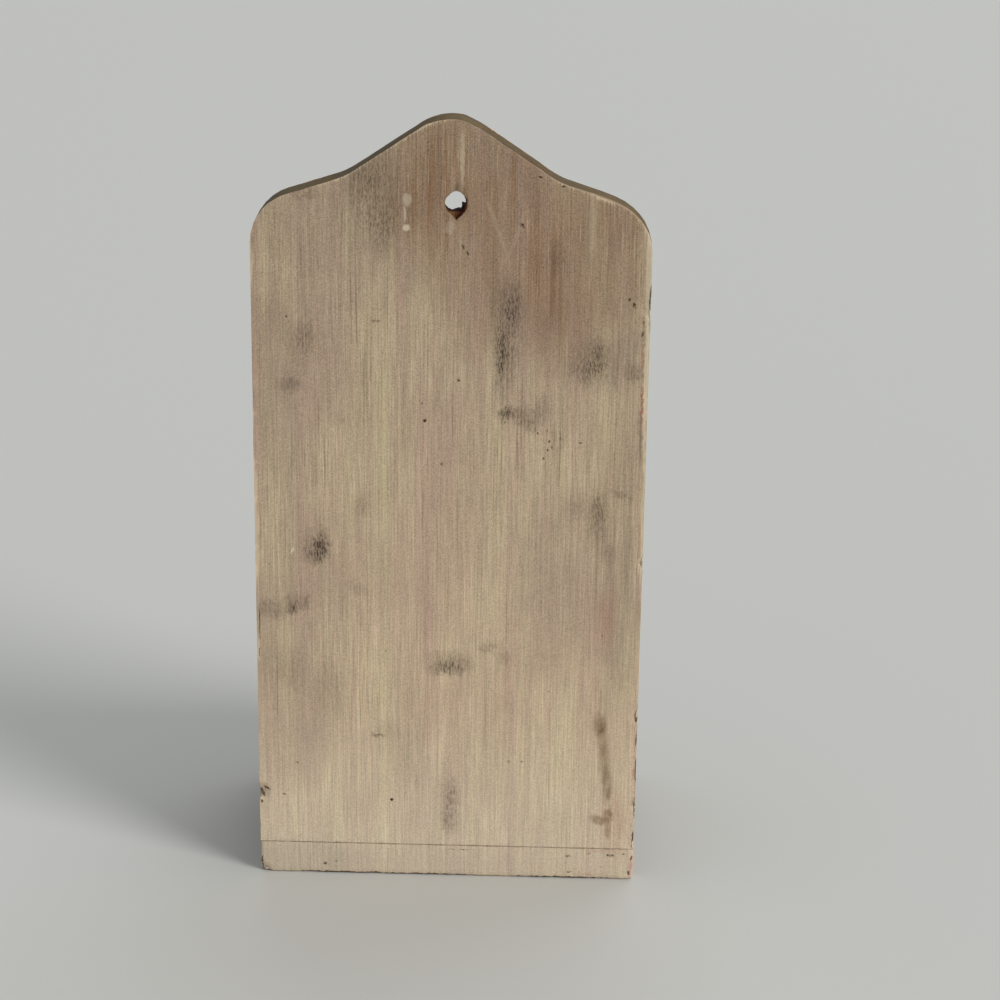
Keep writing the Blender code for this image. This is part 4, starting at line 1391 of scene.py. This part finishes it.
def make_brass():
    """Tarnished yellow brass, with brown clouds, a little green and fine scratches."""
    material, place = begin("old_brass")
    tarnish = place.noise((5, 5, 5), 4.0, 0.65)
    pits = place.noise((0.5, 0.5, 0.5), 3.0, 0.6, shift=4.0)
    scratches = place.noise((4, 0.3, 4), 3.0, 0.7, shift=8.0)
    brown = tarnish.between(0.35, 0.62)
    green = place.noise((1.4, 1.4, 1.4), 3.0, 0.6, shift=14.0).between(0.62, 0.7, top=0.4)
    colour = brown.mix(BRASS_BRIGHT, BRASS_BROWN)
    colour = (pits * 0.4 + 0.8).lights(colour)
    colour = green.mix(colour, VERDIGRIS)
    roughness = brown * 0.25 + scratches * 0.2 + 0.2
    return close(material, colour, roughness, pits * 0.03 + scratches * 0.01, metallic=0.9)


def make_nail_steel():
    """Dark steel with patches of rough rust, which is no metal any more."""
    material, place = begin("rusty_nail_steel")
    patches = place.noise((1.2, 1.2, 1.2), 4.0, 0.7)
    crust = place.noise((0.35, 0.35, 0.35), 3.0, 0.7, shift=6.0)
    rust = patches.between(0.38, 0.6)
    colour = rust.mix(STEEL_DARK, RUST)
    colour = (crust * 0.8 + 0.6).lights(colour)
    metal = rust.between(1, 0, smooth=False, top=0.8)
    return close(material, colour, rust * 0.35 + 0.45, crust * 0.08, metallic=metal)


brass = make_brass()
nail_steel = make_nail_steel()

# %% [markdown]
# ## Hinges
# A cheap butt hinge is stamped from sheet brass. The strip is notched, and the tongues that are left
# are rolled round the pin to make the knuckles. We do the same: a plane is cut, its notches are
# deleted, the end edges of the tongues are spun round the axis of the pin, and Solidify gives the
# sheet its thickness. The screw holes are countersunk with a cone.

# %% Measures of a hinge leaf, in mm
LEAF_LENGTH = (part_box("left_hinge_back_leaf")[1].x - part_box("left_hinge_back_leaf")[0].x) / MM
LEAF_WIDTH = 10.5
LEAF_THICKNESS = 0.9
BARREL_RADIUS = 2.0
ROLL_RADIUS = BARREL_RADIUS - LEAF_THICKNESS / 2
ROLL_ANGLE = math.radians(296)
ROLL_STEPS = 18
KNUCKLES = 3
KNUCKLE_GAP = 0.3
NOTCH_DEPTH = BARREL_RADIUS + KNUCKLE_GAP
LEAF_BEVEL = 0.12
LEAF_BEVEL_ANGLE = math.radians(50)
LEAF_SMOOTH_ANGLE = math.radians(40)
SCREW_FROM_AXIS = 6.5
SCREW_SPACING = 16.5
SCREW_HOLE_RADIUS = 1.25
SCREW_SINK_RADIUS = 2.3
SCREW_SINK_DEPTH = 0.8
SINK_OVERRUN = 0.3
SINK_DRILL_DEPTH = 2.0
SINK_SIDES = 32
print("leaf", round(LEAF_LENGTH, 1), "mm long, with", KNUCKLES, "knuckles and their gaps")


# %% Shaping a hinge leaf
def countersink(leaf, x):
    """Drills a screw hole through a leaf, with a cone for the head of the screw."""
    top = -BARREL_RADIUS + LEAF_THICKNESS
    sink = turn("sink", [
        (SCREW_SINK_RADIUS + SINK_OVERRUN, top + SINK_OVERRUN),
        (SCREW_SINK_RADIUS, top),
        (SCREW_HOLE_RADIUS, top - SCREW_SINK_DEPTH),
        (SCREW_HOLE_RADIUS, top - SINK_DRILL_DEPTH),
    ], SINK_SIDES)
    sink.location = (x * MM, -SCREW_FROM_AXIS * MM, 0)
    bpy.context.view_layer.update()
    cut_out(leaf, sink)


def make_leaf(name, outer):
    """A leaf in the hinge's own frame: the pin's axis is X, and the leaf lies along -Y, face up."""
    bpy.ops.object.select_all(action="DESELECT")
    bpy.ops.mesh.primitive_plane_add(size=1)
    leaf = bpy.context.active_object
    leaf.name = name
    half_knuckle = LEAF_LENGTH / KNUCKLES / 2
    cut_x = half_knuckle + (KNUCKLE_GAP if outer else -KNUCKLE_GAP) / 2
    with editing(leaf):
        bpy.ops.transform.resize(value=(LEAF_LENGTH * MM, LEAF_WIDTH * MM, 1))
        bpy.ops.transform.translate(value=(0, -LEAF_WIDTH / 2 * MM, -ROLL_RADIUS * MM))
        for x in (-cut_x, cut_x):
            bpy.ops.mesh.select_all(action="SELECT")
            bpy.ops.mesh.bisect(plane_co=(x * MM, 0, 0), plane_no=(1, 0, 0))
        bpy.ops.mesh.select_all(action="SELECT")
        bpy.ops.mesh.bisect(plane_co=(0, -NOTCH_DEPTH * MM, 0), plane_no=(0, 1, 0))

        def in_notch(face):
            middle = face.calc_center_median() / MM
            return middle.y > -NOTCH_DEPTH and (abs(middle.x) < cut_x) == outer

        select(leaf, "faces", in_notch)
        bpy.ops.mesh.delete(type="FACE")
        select(leaf, "edges", lambda edge: all(abs(vertex.co.y) < WELD for vertex in edge.verts))
        bpy.ops.mesh.spin(steps=ROLL_STEPS, angle=-ROLL_ANGLE, center=(0, 0, 0), axis=(1, 0, 0))
        bpy.ops.mesh.select_all(action="SELECT")
        bpy.ops.mesh.remove_doubles(threshold=WELD)
        bpy.ops.mesh.normals_make_consistent(inside=False)
    apply_modifier(leaf, "SOLIDIFY", thickness=LEAF_THICKNESS * MM, offset=0.0, use_even_offset=True)
    apply_modifier(leaf, "BEVEL", width=LEAF_BEVEL * MM, segments=2, limit_method="ANGLE",
                   angle_limit=LEAF_BEVEL_ANGLE)
    for x in (-SCREW_SPACING / 2, SCREW_SPACING / 2):
        countersink(leaf, x)
    only(leaf)
    bpy.ops.object.shade_smooth_by_angle(angle=LEAF_SMOOTH_ANGLE)
    reach = [vertex.co.z / MM for vertex in leaf.data.vertices]
    print(name, len(leaf.data.polygons), "faces, from", round(min(reach), 2), "to", round(max(reach), 2))
    return leaf


# %% The four leaves in place
ON_BACK = Matrix.Rotation(math.pi, 4, "Z") @ Matrix.Rotation(-math.pi / 2, 4, "X")
ON_LID = Matrix.Rotation(LID_SLOPE, 4, "X")
back_leaf = make_leaf("back_leaf_master", True)
lid_leaf = make_leaf("lid_leaf_master", False)
for side in ("left", "right"):
    low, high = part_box(side + "_hinge_pin")
    pin_middle = (low + high) / 2
    for master, node, tilt in (
        (back_leaf, side + "_hinge_back_leaf", ON_BACK),
        (lid_leaf, side + "_hinge_lid_leaf", ON_LID),
    ):
        leaf = copy_of(master, "rolled_" + node)
        leaf.matrix_world = Matrix.Translation(pin_middle) @ tilt
        only(leaf)
        bpy.ops.object.transform_apply(location=True, rotation=True, scale=True)
        stand_in(leaf, node, brass)
bpy.data.objects.remove(back_leaf)
bpy.data.objects.remove(lid_leaf)

# %% [markdown]
# ## Pins and screws
# A pin is a wire with rounded ends. A screw has a flat countersunk head with a slot, and no two
# slots ever end up parallel, so each copy is spun by its own angle before it is seated.

# %% Shapes of a pin and a screw
PIN_SIDES = 24
PIN_ROUNDING = 0.35
PIN_ROUND_SHARE = 0.3
SCREW_SIDES = 32
SCREW_SMOOTH_ANGLE = math.radians(35)
SCREW_SHANK_SHARE = 0.48
SCREW_RIM = ((-0.25, 0.0), (-0.06, -0.05), (0.0, -0.16))
SCREW_NECK = ((0.1, 0.0), (0.0, -0.3))
SCREW_POINT = 1.2
SCREW_TIP = 0.05
SLOT_WIDTH = 0.5
SLOT_DEPTH = 0.45
SLOT_LENGTH_SHARE = 3


def pin_profile(radius, length):
    """A rod with rounded ends, whose top is at 0."""
    step = PIN_ROUNDING * PIN_ROUND_SHARE
    ends = [(radius - PIN_ROUNDING, 0), (radius - step, -step), (radius, -PIN_ROUNDING)]
    return ends + [(across, -length - up) for across, up in reversed(ends)]


def screw_profile(head, head_height, length):
    """A countersunk head, a neck, a shank and a point, from the top down."""
    shank = head * SCREW_SHANK_SHARE
    rim = [(head + across, up) for across, up in SCREW_RIM]
    neck = [(shank + across, up - head_height) for across, up in SCREW_NECK]
    return [(POLE, 0.0)] + rim + neck + [(shank, SCREW_POINT - length), (SCREW_TIP, -length)]


def make_screw(name, node, facing, spin, head_height):
    """A slotted screw, as long and as wide as the engineering one."""
    place, head, length = seat_of(node, facing)
    head, length = head / MM, length / MM
    screw = turn(name, screw_profile(head, head_height, length), SCREW_SIDES)
    bpy.ops.object.select_all(action="DESELECT")
    bpy.ops.mesh.primitive_cube_add(size=1, location=(0, 0, 0))
    slot = bpy.context.active_object
    slot.scale = (head * SLOT_LENGTH_SHARE * MM, SLOT_WIDTH * MM, 2 * SLOT_DEPTH * MM)
    bpy.context.view_layer.update()
    cut_out(screw, slot)
    bpy.ops.object.shade_smooth_by_angle(angle=SCREW_SMOOTH_ANGLE)
    place_at(screw, place, facing, spin)
    stand_in(screw, node, brass)


# %% Hinge pins and slotted screws, with the turn of each slot in degrees
SCREW_SPINS = {"back_screw_1": 24, "back_screw_2": 71, "lid_screw_1": -38, "lid_screw_2": 8}
RIGHT_SPIN = 90
RIGHT_SPIN_SHARE = 0.6
HINGE_SCREW_HEAD = 1.1
KNOB_SCREW_HEAD = 1.5
KNOB_SCREW_SPIN = 33
LID_UP = tuple(LID_TILT.col[2])
LID_DOWN = tuple(-LID_TILT.col[2])
TOWARD_FRONT = (0, -1, 0)
ALONG_PIN = (1, 0, 0)

for side in ("left", "right"):
    node = side + "_hinge_pin"
    place, radius, length = seat_of(node, ALONG_PIN)
    pin = turn("rounded_" + node, pin_profile(radius / MM, length / MM), PIN_SIDES)
    place_at(pin, place, ALONG_PIN)
    stand_in(pin, node, brass)
    for ending, spin in SCREW_SPINS.items():
        node = side + "_hinge_" + ending
        facing = LID_UP if "lid" in ending else TOWARD_FRONT
        spin = spin if side == "left" else RIGHT_SPIN - RIGHT_SPIN_SHARE * spin
        make_screw("slotted_" + node, node, facing, spin, HINGE_SCREW_HEAD)
make_screw("slotted_knob_screw", "knob_screw", LID_DOWN, KNOB_SCREW_SPIN, KNOB_SCREW_HEAD)
print(2 * len(SCREW_SPINS) + 1, "screws and 2 pins")

# %% [markdown]
# ## Nails
# The boards are held by small round-headed nails, set just below the surface. One head is modelled
# for each length, with a low dome and a rim that is not quite round, and then copied.

# %% Nails, with the head's profile as (share of its radius, height in mm)
NAIL_SIDES = 20
NAIL_SMOOTH_ANGLE = 40
NAIL_SHANK_SHARE = 0.57
NAIL_HEAD = (
    (0.45, -0.02), (0.8, -0.08), (1.0, -0.22), (1.0, -0.5), (0.9, -0.6), (NAIL_SHANK_SHARE, -0.62),
)
NAIL_POINT = 2.0
NAIL_TIP = 0.03
NAIL_SPIN = 47
DENT_DEPTH = 0.05
DENT_LENGTH = 0.9
DOWN = (0, 0, -1)


def make_nail_shape(name, head, length):
    """A round-headed nail with a slightly dented head, its top at the origin."""
    rings = [(head * share, up) for share, up in NAIL_HEAD]
    shank = [(head * NAIL_SHANK_SHARE, -length + NAIL_POINT), (NAIL_TIP, -length)]
    nail = turn(name, [(POLE, 0.0)] + rings + shank, NAIL_SIDES, NAIL_SMOOTH_ANGLE)
    for vertex in nail.data.vertices:
        dent = DENT_DEPTH * MM * noise.noise(vertex.co / (DENT_LENGTH * MM))
        vertex.co *= 1 - abs(dent) / max(vertex.co.length, MM)
    return nail


# %% The nails in place
nail_nodes = [node for node in NODES if "nail" in node]
shapes = {}
for count, node in enumerate(nail_nodes):
    facing = TOWARD_FRONT if "_front_nail" in node else DOWN
    place, head, length = seat_of(node, facing)
    size = round(length / MM, 2)
    if size not in shapes:
        shapes[size] = make_nail_shape("nail_master", head / MM, size)
    nail = copy_of(shapes[size], "domed_" + node)
    place_at(nail, place, facing, spin=NAIL_SPIN * count)
    stand_in(nail, node, nail_steel)
for master in shapes.values():
    bpy.data.objects.remove(master)
print(len(nail_nodes), "nails")

# %% [markdown]
# ## The knob
# A small mushroom knob, turned from a scrap of wood and painted red. Its profile is an arc for the
# head, a hollow neck and a collar with a fine bead. The paint has worn through on the crown, where
# fingers hold it.

# %% Shape of the knob
KNOB_SIDES = 64
KNOB_HEAD_SHARE = 0.587
KNOB_NECK_SHARE = 0.475
KNOB_FOOT_SHARE = 0.7125
KNOB_FOOT_HEIGHT_SHARE = 0.107
KNOB_COLLAR = 0.3
KNOB_BEAD = 0.25
KNOB_BEAD_SHARE = 0.35
KNOB_POLE = 0.05
KNOB_UNDERCUT = math.radians(50)
KNOB_STEPS = 14
KNOB_SMOOTH_ANGLE = 30


def knob_profile(radius, height):
    """A mushroom head, a hollowed neck and a collar, from the crown down."""
    half_head = height * KNOB_HEAD_SHARE / 2
    centre = height - half_head
    foot = radius * KNOB_FOOT_SHARE
    foot_height = height * KNOB_FOOT_HEIGHT_SHARE
    points = [(KNOB_POLE, height)]
    for step in range(1, KNOB_STEPS + 1):
        angle = math.pi / 2 - (math.pi / 2 + KNOB_UNDERCUT) * step / KNOB_STEPS
        points.append((radius * math.cos(angle), centre + half_head * math.sin(angle)))
    cove, cove_height = points[-1]
    hollow = (cove + foot) / 2 - radius * KNOB_NECK_SHARE
    for step in range(1, KNOB_STEPS + 1):
        share = step / KNOB_STEPS
        across = cove + (foot - KNOB_COLLAR - cove) * share - hollow * math.sin(math.pi * share)
        points.append((across, cove_height + (foot_height - cove_height) * share))
    bead = [
        (foot, foot_height - KNOB_BEAD),
        (foot, foot_height * KNOB_BEAD_SHARE),
        (foot - KNOB_BEAD, 0.0),
    ]
    return [(across, up - height) for across, up in points + bead]


# %% Paint of the knob
KNOB_RED = srgb(112, 41, 28)
KNOB_DARK = srgb(58, 26, 20)
KNOB_CROWN = 3.5


def make_knob_paint(top):
    """Dark red paint, worn through to the wood on the crown, whose top is at that height."""
    material, place = begin("knob_paint")
    cloud = place.noise((6, 6, 6), 4.0, 0.6)
    rings = place.noise(grain(2, 0.5, 12), 2.0, 0.5, shift=3.0)
    chips = place.noise((1.3, 1.3, 1.3), 4.0, 0.7, shift=9.0)
    z = place.add("ShaderNodeSeparateXYZ", {}, {0: place}, 2)
    crown = z.between(top - KNOB_CROWN, top, top=0.30)
    worn = (chips + crown).between(0.74, 0.80)
    colour = cloud.between(0.35, 0.65).mix(KNOB_DARK, KNOB_RED)
    colour = (rings * 0.3 + 0.85).lights(colour)
    colour = worn.mix(colour, BARE_EDGE)
    return close(material, colour, cloud * 0.2 + worn * 0.2 + 0.3, rings * 0.05 - worn * 0.05)


# %% The knob in place
place, radius, length = seat_of("lid_knob", LID_UP)
knob = turn("turned_lid_knob", knob_profile(radius / MM, length / MM), KNOB_SIDES, KNOB_SMOOTH_ANGLE)
place_at(knob, place, LID_UP)
stand_in(knob, "lid_knob", make_knob_paint(place.z / MM))
print("knob", round(2 * radius / MM, 1), "mm across and", round(length / MM, 1), "mm high")
